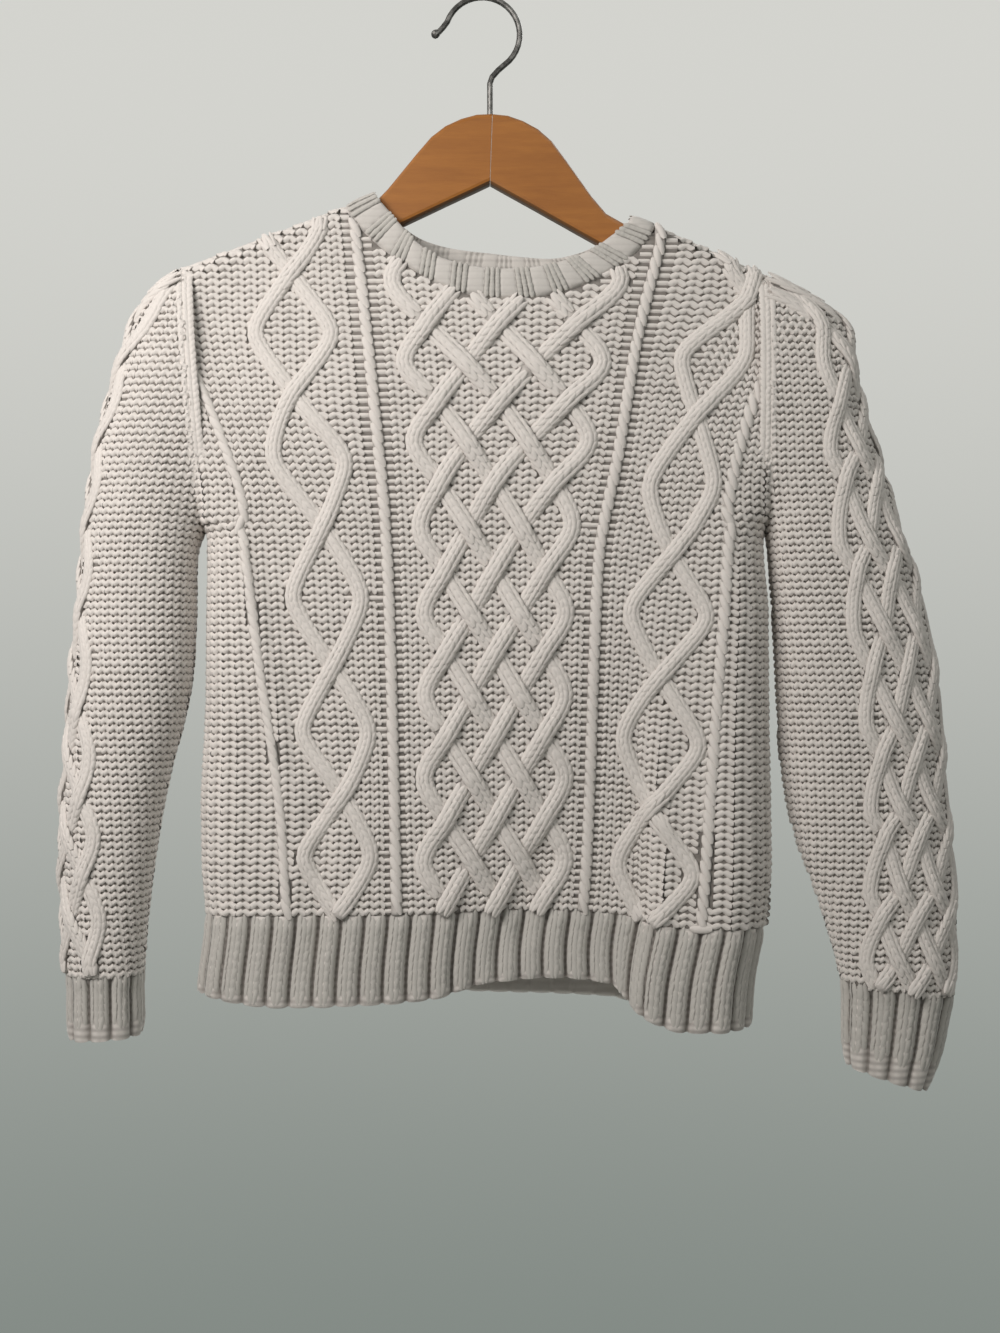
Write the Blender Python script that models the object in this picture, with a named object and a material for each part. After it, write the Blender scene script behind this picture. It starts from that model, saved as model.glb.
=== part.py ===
"""Cable knit sweater hanging on a flat wooden hanger with a wire hook.

The origin is the inside top of the hook, where a rail would carry it. +X is to the right when
looking at the front, the front faces -Y, and +Z is up. Tables are in millimetres.
"""

import math

import bmesh
import bpy
import numpy as np

MM = 0.001
SEAM_GAP = 0.3
PANEL_WALL = 3.0
RIB_WALL = 4.0
COLLAR_WALL = 5.0

# Hanger: two wooden halves that meet at JOINT_X and lean by HANGER_TILT about the crotch.
JOINT_X = 5.0
CROTCH_Z = -120.3
HANGER_TILT = math.radians(2.0)
WOOD_THICKNESS = 12.0
WOOD_CORNER = 3.5
WOOD_CORNER_STEPS = 3
ARM_COLUMNS = ("offset", "top", "bottom")
ARM_ROWS = (
    (0.15, 45.4, -0.1),
    (10.0, 44.7, -5.2),
    (20.0, 41.6, -10.3),
    (30.0, 36.6, -15.4),
    (39.0, 29.2, -20.1),
    (48.0, 18.0, -24.7),
    (57.0, 6.2, -29.4),
    (66.0, -5.6, -34.0),
    (76.0, -16.6, -39.1),
    (93.0, -25.4, -47.2),
    (120.0, -35.8, -57.4),
    (150.0, -47.9, -67.6),
    (176.0, -58.4, -75.4),
    (182.0, -61.2, -76.0),
    (186.0, -65.0, -74.0),
)

# Hook: a shank, a short outward bend, most of a circle and a flared tip with a ball.
WIRE_RADIUS = 1.9
HOOK_RADIUS = 24.3
HOOK_CENTRE = (0.0, -22.4)
SHANK_X = 5.0
SHANK_BOTTOM = CROTCH_Z + 45.4 + SEAM_GAP
SHANK_TOP = -54.0
HOOK_START = math.radians(-44.0)
HOOK_END = math.radians(160.0)
HOOK_STEPS = 22
TIP = (-30.4, -22.0)
TIP_BALL_RADIUS = 2.9

# Outline of the body. The crest line is the shoulder line, carried on over the neck opening.
SHOULDER_LEFT = (-193.3, -175.4)
SHOULDER_RIGHT = (184.3, -180.6)
ARMPIT_LEFT = (-179.8, -341.8)
ARMPIT_RIGHT = (183.0, -339.2)
NECK_LEFT = (-87.7, -135.4)
NECK_RIGHT = (110.7, -147.4)
CREST_COLUMNS = ("x", "z")
CREST_ROWS = (
    SHOULDER_LEFT,
    (-120.0, -147.6),
    NECK_LEFT,
    (-30.0, -122.0),
    (20.0, -119.0),
    (60.0, -126.0),
    NECK_RIGHT,
    (140.0, -160.6),
    SHOULDER_RIGHT,
)
SHOULDER_COLUMNS = 7
EDGE_COLUMNS = ("z", "left", "right")
EDGE_ROWS = (
    (-345.0, -177.6, 181.2),
    (-352.0, -176.4, 180.4),
    (-372.0, -176.4, 181.6),
    (-395.0, -176.8, 183.6),
    (-455.0, -177.4, 184.0),
    (-520.0, -180.4, 185.2),
    (-560.0, -180.0, 185.6),
    (-592.0, -177.8, 182.8),
    (-640.0, -183.0, 174.5),
    (-666.0, -184.0, 173.0),
)

# Lower edges of the panels (rib seam) and of the ribs, across the body.
HEM_COLUMNS = ("across", "front_seam", "front_hem", "back_seam", "back_hem")
HEM_ROWS = (
    (0.00, -592.0, -642.0, -592.0, -642.0),
    (0.15, -591.0, -648.5, -592.0, -646.0),
    (0.30, -590.5, -647.0, -593.0, -646.0),
    (0.42, -590.0, -644.0, -594.0, -646.0),
    (0.52, -589.0, -635.0, -595.0, -647.0),
    (0.64, -589.5, -632.0, -596.0, -648.0),
    (0.74, -592.0, -636.0, -598.0, -650.0),
    (0.80, -597.0, -655.0, -600.0, -655.0),
    (0.88, -599.0, -664.0, -601.0, -662.0),
    (1.00, -600.0, -664.0, -600.0, -664.0),
)

# Depth of the cloth in front of and behind the middle plane, across the body.
DEPTH_COLUMNS = ("across", "front_chest", "front_hem", "back_chest", "back_hem")
DEPTH_ROWS = (
    (0.00, 22.0, 22.0, 19.0, 18.0),
    (0.08, 24.0, 25.0, 20.0, 20.0),
    (0.25, 24.5, 28.0, 20.5, 23.0),
    (0.40, 23.5, 25.0, 20.0, 21.0),
    (0.52, 23.0, 16.0, 19.5, 18.0),
    (0.66, 23.5, 12.0, 20.0, 18.0),
    (0.76, 24.0, 14.0, 20.5, 20.0),
    (0.81, 24.5, 28.0, 20.5, 22.0),
    (0.92, 25.0, 30.0, 20.0, 21.0),
    (1.00, 23.0, 24.0, 19.0, 18.0),
)
CHEST_Z = -400.0
ARMHOLE_DEPTH = 24.0
OVAL_POWER = 2.2
ARCH_REACH = 9.0
ARCH_DEPTH = 9.8
SPREAD_REACH = 150.0
SIDE_ROUND = 24.0

# Large soft folds: a ridge where height is positive, a trough where it is negative.
FOLD_COLUMNS = ("top_across", "top_z", "low_across", "low_z", "width", "height")
FRONT_FOLDS = (
    (0.045, -330.0, 0.13, -470.0, 9.0, 3.0),
    (0.955, -330.0, 0.93, -520.0, 9.0, 3.5),
    (0.22, -500.0, 0.20, -600.0, 10.0, -3.5),
    (0.87, -470.0, 0.90, -600.0, 9.0, -4.0),
    (0.60, -540.0, 0.56, -600.0, 14.0, -3.0),
)
BACK_FOLDS = (
    (0.06, -335.0, 0.16, -500.0, 10.0, 3.0),
    (0.94, -335.0, 0.85, -480.0, 10.0, 3.5),
    (0.35, -480.0, 0.32, -600.0, 12.0, -3.0),
    (0.68, -460.0, 0.71, -600.0, 13.0, -3.5),
)

# Collar: its seam and its folded edge, at the front and at the back.
COLLAR_COLUMNS = ("seam_x", "seam_z", "fold_x", "fold_z")
COLLAR_SEAM_LIFT = 1.1
COLLAR_FRONT = (
    (-87.7, -135.4, -68.8, -127.4),
    (-87.0, -136.6, -68.3, -128.4),
    (-85.4, -141.5, -67.0, -131.6),
    (-76.8, -152.3, -60.2, -139.6),
    (-61.4, -166.4, -50.6, -151.0),
    (-42.9, -179.2, -39.0, -163.0),
    (-25.0, -189.4, -23.0, -172.2),
    (0.6, -196.5, 1.9, -177.9),
    (31.4, -197.1, 27.5, -177.9),
    (55.0, -192.0, 46.4, -174.7),
    (76.2, -183.0, 60.5, -169.6),
    (90.2, -174.1, 72.4, -163.8),
    (103.0, -161.9, 85.2, -154.2),
    (109.6, -152.6, 93.6, -147.4),
    (110.5, -148.6, 95.4, -143.6),
    (110.7, -147.4, 95.7, -142.6),
)
COLLAR_BACK = (
    (-87.0, -136.6, -68.3, -128.4),
    (-85.4, -141.5, -67.0, -131.6),
    (-77.0, -150.0, -60.0, -138.0),
    (-62.0, -161.5, -50.0, -146.5),
    (-43.0, -170.5, -38.0, -153.5),
    (-23.0, -176.8, -20.0, -158.5),
    (1.0, -180.5, 4.0, -161.5),
    (31.0, -183.0, 27.5, -164.0),
    (54.0, -182.5, 46.0, -165.0),
    (75.0, -177.6, 61.0, -162.4),
    (90.0, -170.0, 73.0, -158.0),
    (103.0, -159.6, 85.5, -151.8),
    (109.6, -152.4, 93.6, -147.0),
    (110.5, -148.6, 95.4, -143.6),
)
COLLAR_STATIONS_PER_ROW = 2
COLLAR_LEAN_IN = 0.94

# Sleeves: each ring lies across the arm, from its inner point to its outer point.
RING_COLUMNS = ("inner_x", "inner_z", "outer_x", "outer_z", "half_depth", "middle_y")
SLEEVE_LEFT = (
    (-180.2, -341.8, -193.7, -175.4, 24.0, 0.0),
    (-181.8, -345.2, -205.0, -183.0, 24.2, 0.0),
    (-183.4, -348.4, -219.6, -201.0, 24.5, 0.0),
    (-185.2, -353.0, -231.6, -231.0, 25.4, 0.0),
    (-186.6, -359.0, -240.8, -263.0, 26.4, 0.0),
    (-187.4, -367.0, -248.6, -298.0, 27.4, -0.5),
    (-187.6, -380.0, -254.4, -340.0, 28.4, -1.0),
    (-187.6, -399.0, -258.4, -386.0, 29.0, -1.5),
    (-189.4, -436.0, -262.4, -433.0, 29.0, -2.5),
    (-194.6, -466.0, -265.0, -466.0, 28.6, -3.0),
    (-202.9, -497.0, -266.9, -497.0, 28.0, -3.5),
    (-212.4, -547.0, -269.4, -547.0, 26.0, -4.0),
    (-218.9, -600.0, -268.2, -600.0, 23.5, -4.5),
    (-220.8, -630.0, -266.2, -630.0, 22.0, -5.0),
)
SLEEVE_RIGHT = (
    (183.4, -339.2, 184.7, -180.6, 24.0, 0.0),
    (184.6, -342.4, 203.5, -190.6, 24.0, 0.0),
    (185.4, -346.0, 224.0, -203.0, 24.0, 0.0),
    (186.4, -350.0, 237.4, -221.0, 24.0, 0.0),
    (187.2, -355.6, 241.9, -253.0, 24.0, 0.5),
    (187.9, -362.6, 250.9, -285.0, 24.4, 1.0),
    (188.6, -373.0, 263.0, -323.0, 24.6, 1.5),
    (189.6, -391.0, 275.8, -365.0, 24.8, 2.0),
    (191.4, -420.0, 288.0, -411.0, 25.0, 2.5),
    (192.8, -455.0, 295.0, -458.0, 25.0, 3.0),
    (195.4, -496.0, 298.2, -506.0, 25.0, 3.0),
    (203.5, -538.0, 302.7, -547.0, 25.0, 3.0),
    (218.2, -579.0, 305.9, -586.0, 24.4, 2.5),
    (231.0, -618.0, 305.9, -624.0, 23.4, 2.0),
    (235.5, -637.0, 304.6, -646.0, 22.6, 2.0),
)
CUFF_LEFT = (
    (-220.8, -630.4, -266.2, -630.4, 21.6, -5.0),
    (-221.6, -640.0, -265.4, -640.0, 20.6, -5.0),
    (-221.2, -652.0, -265.6, -652.6, 20.4, -5.0),
    (-220.9, -669.0, -265.4, -671.6, 20.8, -5.0),
)
CUFF_RIGHT = (
    (235.5, -637.4, 304.5, -646.4, 22.2, 2.0),
    (236.4, -646.0, 302.4, -657.0, 20.8, 2.0),
    (236.2, -667.0, 297.6, -680.0, 20.4, 2.0),
    (237.6, -690.6, 288.2, -706.4, 20.6, 2.0),
)
RING_POINTS = 20
SLEEVE_STEPS_PER_ROW = 1.5

ALONG_X = (1.0, 0.0, 0.0)
ALONG_Y = (0.0, 1.0, 0.0)
ALONG_Z = (0.0, 0.0, 1.0)

COLOURS = {
    "knit": (0.62, 0.57, 0.51, 1.0),
    "rib": (0.58, 0.53, 0.48, 1.0),
    "wood": (0.47, 0.20, 0.05, 1.0),
    "steel": (0.28, 0.27, 0.25, 1.0),
}


def table(columns, rows):
    """A short table as one array for each named column."""
    return dict(zip(columns, np.array(rows, float).T))


def smooth_interp(at, xs, ys):
    """Cubic interpolation through a table's points, with tangents that never overshoot."""
    xs = np.asarray(xs, float)
    ys = np.asarray(ys, float)
    if xs[0] > xs[-1]:
        xs = xs[::-1]
        ys = ys[::-1]
    slopes = np.diff(ys) / np.diff(xs)
    tangents = np.zeros(len(xs))
    same_way = slopes[:-1] * slopes[1:] > 0
    total = np.where(same_way, slopes[:-1] + slopes[1:], 1.0)
    tangents[1:-1] = np.where(same_way, 2.0 * slopes[:-1] * slopes[1:] / total, 0.0)
    tangents[0] = slopes[0]
    tangents[-1] = slopes[-1]
    at = np.clip(at, xs[0], xs[-1])
    k = np.clip(np.searchsorted(xs, at, side="right") - 1, 0, len(xs) - 2)
    width = xs[k + 1] - xs[k]
    t = (at - xs[k]) / width
    rise = t * t * (3.0 - 2.0 * t)
    bend_in = t * (1.0 - t) * (1.0 - t)
    bend_out = -t * t * (1.0 - t)
    curve = ys[k] + (ys[k + 1] - ys[k]) * rise
    return curve + width * (tangents[k] * bend_in + tangents[k + 1] * bend_out)


def smoothstep(value):
    """A soft step from 0 to 1."""
    value = np.clip(value, 0.0, 1.0)
    return value * value * (3.0 - 2.0 * value)


def quarter_round(distance, reach):
    """The height of a quarter ellipse at a distance from its edge, from 0 to 1."""
    left = 1.0 - np.clip(distance / reach, 0.0, 1.0)
    return np.sqrt(1.0 - left * left)


def line_between(start, end, at_z):
    """x on the straight line between two (x, z) points."""
    return start[0] + (end[0] - start[0]) * (at_z - start[1]) / (end[1] - start[1])


def body_edge(side, z):
    """x of the body's side edge: the armhole line above the armpit, the side seam below it."""
    shoulder = {"left": SHOULDER_LEFT, "right": SHOULDER_RIGHT}[side]
    armpit = {"left": ARMPIT_LEFT, "right": ARMPIT_RIGHT}[side]
    edges = table(EDGE_COLUMNS, EDGE_ROWS)
    levels = np.concatenate([[armpit[1]], edges["z"]])
    places = np.concatenate([[armpit[0]], edges[side]])
    below = smooth_interp(z, levels, places)
    return np.where(z > armpit[1], line_between(shoulder, armpit, z), below)


def armhole_depth(side, z):
    """Half depth of the armhole's oval at a height: 0 at the shoulder point and the armpit."""
    shoulder = {"left": SHOULDER_LEFT, "right": SHOULDER_RIGHT}[side]
    armpit = {"left": ARMPIT_LEFT, "right": ARMPIT_RIGHT}[side]
    t = np.clip((shoulder[1] - z) / (shoulder[1] - armpit[1]), 0.0, 1.0)
    return ARMHOLE_DEPTH * (1.0 - np.abs(2.0 * t - 1.0) ** OVAL_POWER) ** (1.0 / OVAL_POWER)


def fold_heights(folds, across, x, z):
    """Sum of the soft folds at a point, each along its own slanted line."""
    total = np.zeros_like(x)
    half = (body_edge("right", z) - body_edge("left", z)) / 2.0
    for row in folds:
        fold = dict(zip(FOLD_COLUMNS, row))
        t = (fold["top_z"] - z) / (fold["top_z"] - fold["low_z"])
        middle = fold["top_across"] + (fold["low_across"] - fold["top_across"]) * t
        away = (across - middle) * 2.0 * half / fold["width"]
        along = smoothstep(t / 0.3) * smoothstep((1.6 - t) / 0.6)
        total += fold["height"] * np.exp(-away * away) * along
    return total


def hem_levels(face, across):
    """(seam_z, hem_z): the heights of the rib's upper and lower edge."""
    hem = table(HEM_COLUMNS, HEM_ROWS)
    seam_z = smooth_interp(across, hem["across"], hem[face + "_seam"])
    return seam_z, smooth_interp(across, hem["across"], hem[face + "_hem"])


def body_depth(face, x, z):
    """Distance of the cloth's middle surface from the middle plane, at the front or the back."""
    folds = {"front": FRONT_FOLDS, "back": BACK_FOLDS}[face]
    left = body_edge("left", z)
    right = body_edge("right", z)
    across = np.clip((x - left) / (right - left), 0.0, 1.0)
    depth = table(DEPTH_COLUMNS, DEPTH_ROWS)
    chest = smooth_interp(across, depth["across"], depth[face + "_chest"])
    low = smooth_interp(across, depth["across"], depth[face + "_hem"])
    seam_z = hem_levels(face, across)[0]
    full = chest + (low - chest) * smoothstep((CHEST_Z - z) / (CHEST_Z - seam_z))
    crest = table(CREST_COLUMNS, CREST_ROWS)
    fall = smooth_interp(x, crest["x"], crest["z"]) - z
    spread = smoothstep(fall / SPREAD_REACH)
    arch = ARCH_DEPTH * quarter_round(fall, ARCH_REACH)
    body = arch + (full - ARCH_DEPTH + fold_heights(folds, across, x, z)) * spread
    edge = np.where(across < 0.5, armhole_depth("left", z), armhole_depth("right", z))
    from_edge = np.minimum(x - left, right - x)
    return edge + (body - edge) * quarter_round(from_edge, SIDE_ROUND)


def panel_surface(face):
    """Middle surface of the front or the back from the shoulder line to the hem.

    Returns (points, seam_row, rise): rows run down from the top edge, the rib starts at seam_row,
    and rise is the direction of the collar above each column, or zeros outside the neck.
    """
    collar = table(COLLAR_COLUMNS, {"front": COLLAR_FRONT, "back": COLLAR_BACK}[face])
    inner = slice(1, -1) if face == "front" else slice(0, None)
    neck_x = collar["seam_x"][inner]
    neck_z = collar["seam_z"][inner]
    neck = slice(SHOULDER_COLUMNS, -SHOULDER_COLUMNS)
    rise = np.zeros((len(neck_x) + 2 * SHOULDER_COLUMNS, 3))
    rise[neck, 0] = (collar["fold_x"] - collar["seam_x"])[inner]
    rise[neck, 2] = (collar["fold_z"] - collar["seam_z"])[inner]
    rise /= np.maximum(np.linalg.norm(rise, axis=1, keepdims=True), 1e-9)
    part = 1.0 - np.cos(np.linspace(0.0, math.pi / 2.0, SHOULDER_COLUMNS))
    left_x = SHOULDER_LEFT[0] + (NECK_LEFT[0] - SHOULDER_LEFT[0]) * part
    right_x = SHOULDER_RIGHT[0] + (NECK_RIGHT[0] - SHOULDER_RIGHT[0]) * part[::-1]
    crest = table(CREST_COLUMNS, CREST_ROWS)
    left_z = smooth_interp(left_x, crest["x"], crest["z"])
    right_z = smooth_interp(right_x, crest["x"], crest["z"])
    top_x = np.concatenate([left_x, neck_x, right_x])
    top_z = np.concatenate([left_z, neck_z, right_z])
    left = body_edge("left", top_z)
    right = body_edge("right", top_z)
    across = (top_x - left) / (right - left)
    across[0] = 0.0
    across[-1] = 1.0
    seam_z, hem_z = hem_levels(face, across)
    down = np.concatenate([[0.0, 0.012, 0.03], np.linspace(0.06, 1.0, 14)])
    rows = [top_z + (seam_z - top_z) * t for t in down]
    rib_rows = [seam_z + (hem_z - seam_z) * t for t in np.linspace(0.0, 1.0, 5)]
    z = np.array(rows + rib_rows[1:])
    armpit_z = np.where(across < 0.5, ARMPIT_LEFT[1], ARMPIT_RIGHT[1])
    nearest = np.abs(z - armpit_z).argmin(axis=0)
    for column in (0, -1):
        z[nearest[column], column] = armpit_z[column]
    left = body_edge("left", z)
    right = body_edge("right", z)
    x = left + (right - left) * across
    y = np.maximum(body_depth(face, x, z), SEAM_GAP / 2.0)
    y *= -1.0 if face == "front" else 1.0
    return np.stack([x, y, z], axis=-1), len(down) - 1, rise


def surface_normals(points, closed):
    """Unit normals of a grid of points, from the differences between neighbours."""
    if closed:
        around = np.roll(points, -1, axis=1) - np.roll(points, 1, axis=1)
    else:
        around = np.gradient(points, axis=1)
    down = np.gradient(points, axis=0)
    normals = np.cross(down, around)
    length = np.linalg.norm(normals, axis=-1, keepdims=True)
    return normals / np.maximum(length, 1e-9)


def without(normals, direction):
    """Normals with their part along a direction taken out, at unit length again."""
    direction = np.asarray(direction, float)
    part = (normals * direction).sum(axis=-1, keepdims=True)
    kept = normals - part * direction
    return kept / np.maximum(np.linalg.norm(kept, axis=-1, keepdims=True), 1e-9)


def material(name, metallic=0.0, roughness=0.9):
    """The named Principled material, made once."""
    found = bpy.data.materials.get(name)
    if found is None:
        found = bpy.data.materials.new(name)
        found.use_nodes = True
        shader = found.node_tree.nodes["Principled BSDF"]
        shader.inputs["Base Color"].default_value = COLOURS[name]
        shader.inputs["Roughness"].default_value = roughness
        shader.inputs["Metallic"].default_value = metallic
    return found


def new_object(name, bm, finish):
    """An object from a bmesh, shaded smooth, with outward faces."""
    bmesh.ops.recalc_face_normals(bm, faces=bm.faces)
    mesh = bpy.data.meshes.new(name)
    bm.to_mesh(mesh)
    bm.free()
    mesh.materials.append(finish)
    mesh.shade_smooth()
    mesh.set_sharp_from_angle(angle=math.radians(50.0))
    made = bpy.data.objects.new(name, mesh)
    bpy.context.scene.collection.objects.link(made)
    return made


def wall_object(name, middle, normals, wall, closed, finish):
    """A wall of cloth round a grid of points, closed by a rim along each open edge."""
    bm = bmesh.new()
    layers = []
    for side in (0.5, -0.5):
        grid = (middle + normals * wall * side) * MM
        layers.append([[bm.verts.new(point) for point in row] for row in grid])
    outer, inner = layers
    last_row = len(outer) - 1
    count = len(outer[0])
    spans = count if closed else count - 1
    for i in range(last_row):
        for j in range(spans):
            k = (j + 1) % count
            bm.faces.new((outer[i][j], outer[i + 1][j], outer[i + 1][k], outer[i][k]))
            bm.faces.new((inner[i][j], inner[i][k], inner[i + 1][k], inner[i + 1][j]))
    for i in (0, last_row):
        for j in range(spans):
            k = (j + 1) % count
            bm.faces.new((outer[i][j], outer[i][k], inner[i][k], inner[i][j]))
    if not closed:
        for j in (0, count - 1):
            for i in range(last_row):
                bm.faces.new((outer[i][j], inner[i][j], inner[i + 1][j], outer[i + 1][j]))
    return new_object(name, bm, finish)


def make_panel(face, panel_name, rib_name):
    """The front or the back, and the rib below it."""
    points, seam_row, rise = panel_surface(face)
    normals = surface_normals(points, closed=False)
    if face == "back":
        normals = -normals
    shoulder = np.abs(points[0, :, 1]) < SEAM_GAP
    normals[0, shoulder] = without(normals[0, shoulder], ALONG_Y)
    normals[0, ~shoulder] = without(normals[0, ~shoulder], rise[~shoulder])
    normals[seam_row] = without(normals[seam_row], ALONG_Z)
    for column, side in ((0, "left"), (-1, "right")):
        armpit = {"left": ARMPIT_LEFT, "right": ARMPIT_RIGHT}[side]
        above = points[:, column, 2] >= armpit[1] - 0.01
        normals[above, column] = without(normals[above, column], ALONG_X)
        normals[~above, column] = without(normals[~above, column], ALONG_Y)
        normals[np.flatnonzero(above)[-1], column] = (0.0, 0.0, -1.0)
        normals[0, column] = (0.0, 0.0, 1.0)
    panel = points[: seam_row + 1].copy()
    wall_object(panel_name, panel, normals[: seam_row + 1], PANEL_WALL, False, material("knit"))
    rib = points[seam_row:].copy()
    rib[0, :, 2] -= SEAM_GAP
    wall_object(rib_name, rib, normals[seam_row:], RIB_WALL, False, material("rib"))


def sleeve_rings(rows, steps_per_row):
    """Rings of points across the arm, from a table of inner and outer points."""
    rings = table(RING_COLUMNS, rows)
    place = np.arange(len(rows), dtype=float)
    count = int(round((len(rows) - 1) * steps_per_row)) + 1
    at = np.linspace(0.0, len(rows) - 1.0, count)
    smooth = {name: smooth_interp(at, place, rings[name]) for name in RING_COLUMNS}
    angle = np.arange(RING_POINTS) * 2.0 * math.pi / RING_POINTS
    power = 2.0 / OVAL_POWER
    along = np.sign(np.cos(angle)) * np.abs(np.cos(angle)) ** power
    sideways = np.sign(np.sin(angle)) * np.abs(np.sin(angle)) ** power
    points = np.zeros((count, RING_POINTS, 3))
    outward = np.zeros((count, RING_POINTS, 3))
    for i in range(count):
        inner = np.array([smooth["inner_x"][i], smooth["inner_z"][i]])
        outer = np.array([smooth["outer_x"][i], smooth["outer_z"][i]])
        middle = (inner + outer) / 2.0
        half = (outer - inner) / 2.0
        points[i, :, 0] = middle[0] + half[0] * along
        points[i, :, 2] = middle[1] + half[1] * along
        points[i, :, 1] = smooth["middle_y"][i] + smooth["half_depth"][i] * sideways
        reach = np.linalg.norm(half)
        lean = along / reach
        rise = sideways / smooth["half_depth"][i]
        length = np.hypot(lean, rise)
        outward[i, :, 0] = half[0] / reach * lean / length
        outward[i, :, 2] = half[1] / reach * lean / length
        outward[i, :, 1] = rise / length
    return points, outward


def make_sleeve(name, rows, wall, steps_per_row, finish):
    """One sleeve or cuff as a tube of cloth, open at both ends."""
    points, outward = sleeve_rings(rows, steps_per_row)
    return wall_object(name, points, outward, wall, True, finish)


def make_collar():
    """The double rib band: a closed loop over the front, the shoulders and the back."""
    front = np.array(COLLAR_FRONT, float)
    back = np.array(COLLAR_BACK, float)
    front_y = -body_depth("front", front[:, 0], front[:, 1])
    front_y[[0, -1]] = 0.0
    back_y = body_depth("back", back[:, 0], back[:, 1])
    front = np.column_stack([front, front_y])
    back = np.column_stack([back, back_y])
    loop = np.concatenate([front, back[::-1]])
    count = len(loop) * COLLAR_STATIONS_PER_ROW
    stations = np.zeros((count, 5))
    for i in range(count):
        k, t = divmod(i / COLLAR_STATIONS_PER_ROW, 1.0)
        k = int(k)
        a, b, c, d = (loop[(k + step) % len(loop)] for step in (-1, 0, 1, 2))
        stations[i] = 0.5 * (
            2.0 * b + (c - a) * t + (2.0 * a - 5.0 * b + 4.0 * c - d) * t * t
            + (3.0 * b - 3.0 * c + d - a) * t ** 3
        )
    seam = stations[:, [0, 4, 1]]
    fold = stations[:, [2, 4, 3]]
    fold[:, 1] *= COLLAR_LEAN_IN
    rise = fold - seam
    rise /= np.linalg.norm(rise, axis=1, keepdims=True)
    seam = seam + rise * COLLAR_SEAM_LIFT
    tangent = np.roll(seam + fold, -1, axis=0) - np.roll(seam + fold, 1, axis=0)
    outward = np.cross(tangent, rise)
    outward /= np.linalg.norm(outward, axis=1, keepdims=True)
    half = COLLAR_WALL / 2.0
    corner = half * 0.6
    outline = (
        (seam, 0.0, half),
        (fold, -corner, half),
        (fold, 0.0, half - corner),
        (fold, 0.0, corner - half),
        (fold, -corner, -half),
        (seam, 0.0, -half),
    )
    bm = bmesh.new()
    rings = []
    for base, lift, out in outline:
        ring = (base + rise * lift + outward * out) * MM
        rings.append([bm.verts.new(point) for point in ring])
    for i in range(len(rings)):
        ring, following = rings[i], rings[(i + 1) % len(rings)]
        for j in range(count):
            k = (j + 1) % count
            bm.faces.new((ring[j], ring[k], following[k], following[j]))
    return new_object("collar", bm, material("rib"))


def rounded_section(top, bottom):
    """Points of a rectangle with round corners, across the wood, as (y, z) pairs."""
    half = WOOD_THICKNESS / 2.0
    radius = min(WOOD_CORNER, (top - bottom) / 2.2)
    middles = (
        (half - radius, top - radius, 0.0),
        (radius - half, top - radius, 90.0),
        (radius - half, bottom + radius, 180.0),
        (half - radius, bottom + radius, 270.0),
    )
    section = []
    for y, z, start in middles:
        for step in range(WOOD_CORNER_STEPS + 1):
            angle = math.radians(start + 90.0 * step / WOOD_CORNER_STEPS)
            section.append((y + radius * math.cos(angle), z + radius * math.sin(angle)))
    return section


def make_arm(name, side):
    """One wooden half of the hanger, from the joint to its rounded end."""
    bm = bmesh.new()
    rings = []
    for row in ARM_ROWS:
        arm = dict(zip(ARM_COLUMNS, row))
        ring = []
        for y, z in rounded_section(arm["top"], arm["bottom"]):
            x = side * arm["offset"]
            turned_x = x * math.cos(HANGER_TILT) + z * math.sin(HANGER_TILT)
            turned_z = z * math.cos(HANGER_TILT) - x * math.sin(HANGER_TILT)
            place = (JOINT_X + turned_x, y, CROTCH_Z + turned_z)
            ring.append(bm.verts.new([value * MM for value in place]))
        rings.append(ring)
    for ring, following in zip(rings, rings[1:]):
        for j in range(len(ring)):
            k = (j + 1) % len(ring)
            bm.faces.new((ring[j], ring[k], following[k], following[j]))
    bm.faces.new(rings[0])
    bm.faces.new(rings[-1])
    return new_object(name, bm, material("wood", roughness=0.35))


def hook_path():
    """(x, z) points along the middle of the wire, from the shank's foot to the tip."""
    points = [(SHANK_X, SHANK_BOTTOM), (SHANK_X, -65.0), (SHANK_X, SHANK_TOP)]
    points += [(6.4, -49.9), (10.2, -45.6)]
    for step in range(HOOK_STEPS + 1):
        angle = HOOK_START + (HOOK_END - HOOK_START) * step / HOOK_STEPS
        x = HOOK_CENTRE[0] + HOOK_RADIUS * math.cos(angle)
        points.append((x, HOOK_CENTRE[1] + HOOK_RADIUS * math.sin(angle)))
    points += [(-25.6, -17.8), (-28.0, -20.4), TIP]
    return points


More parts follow.
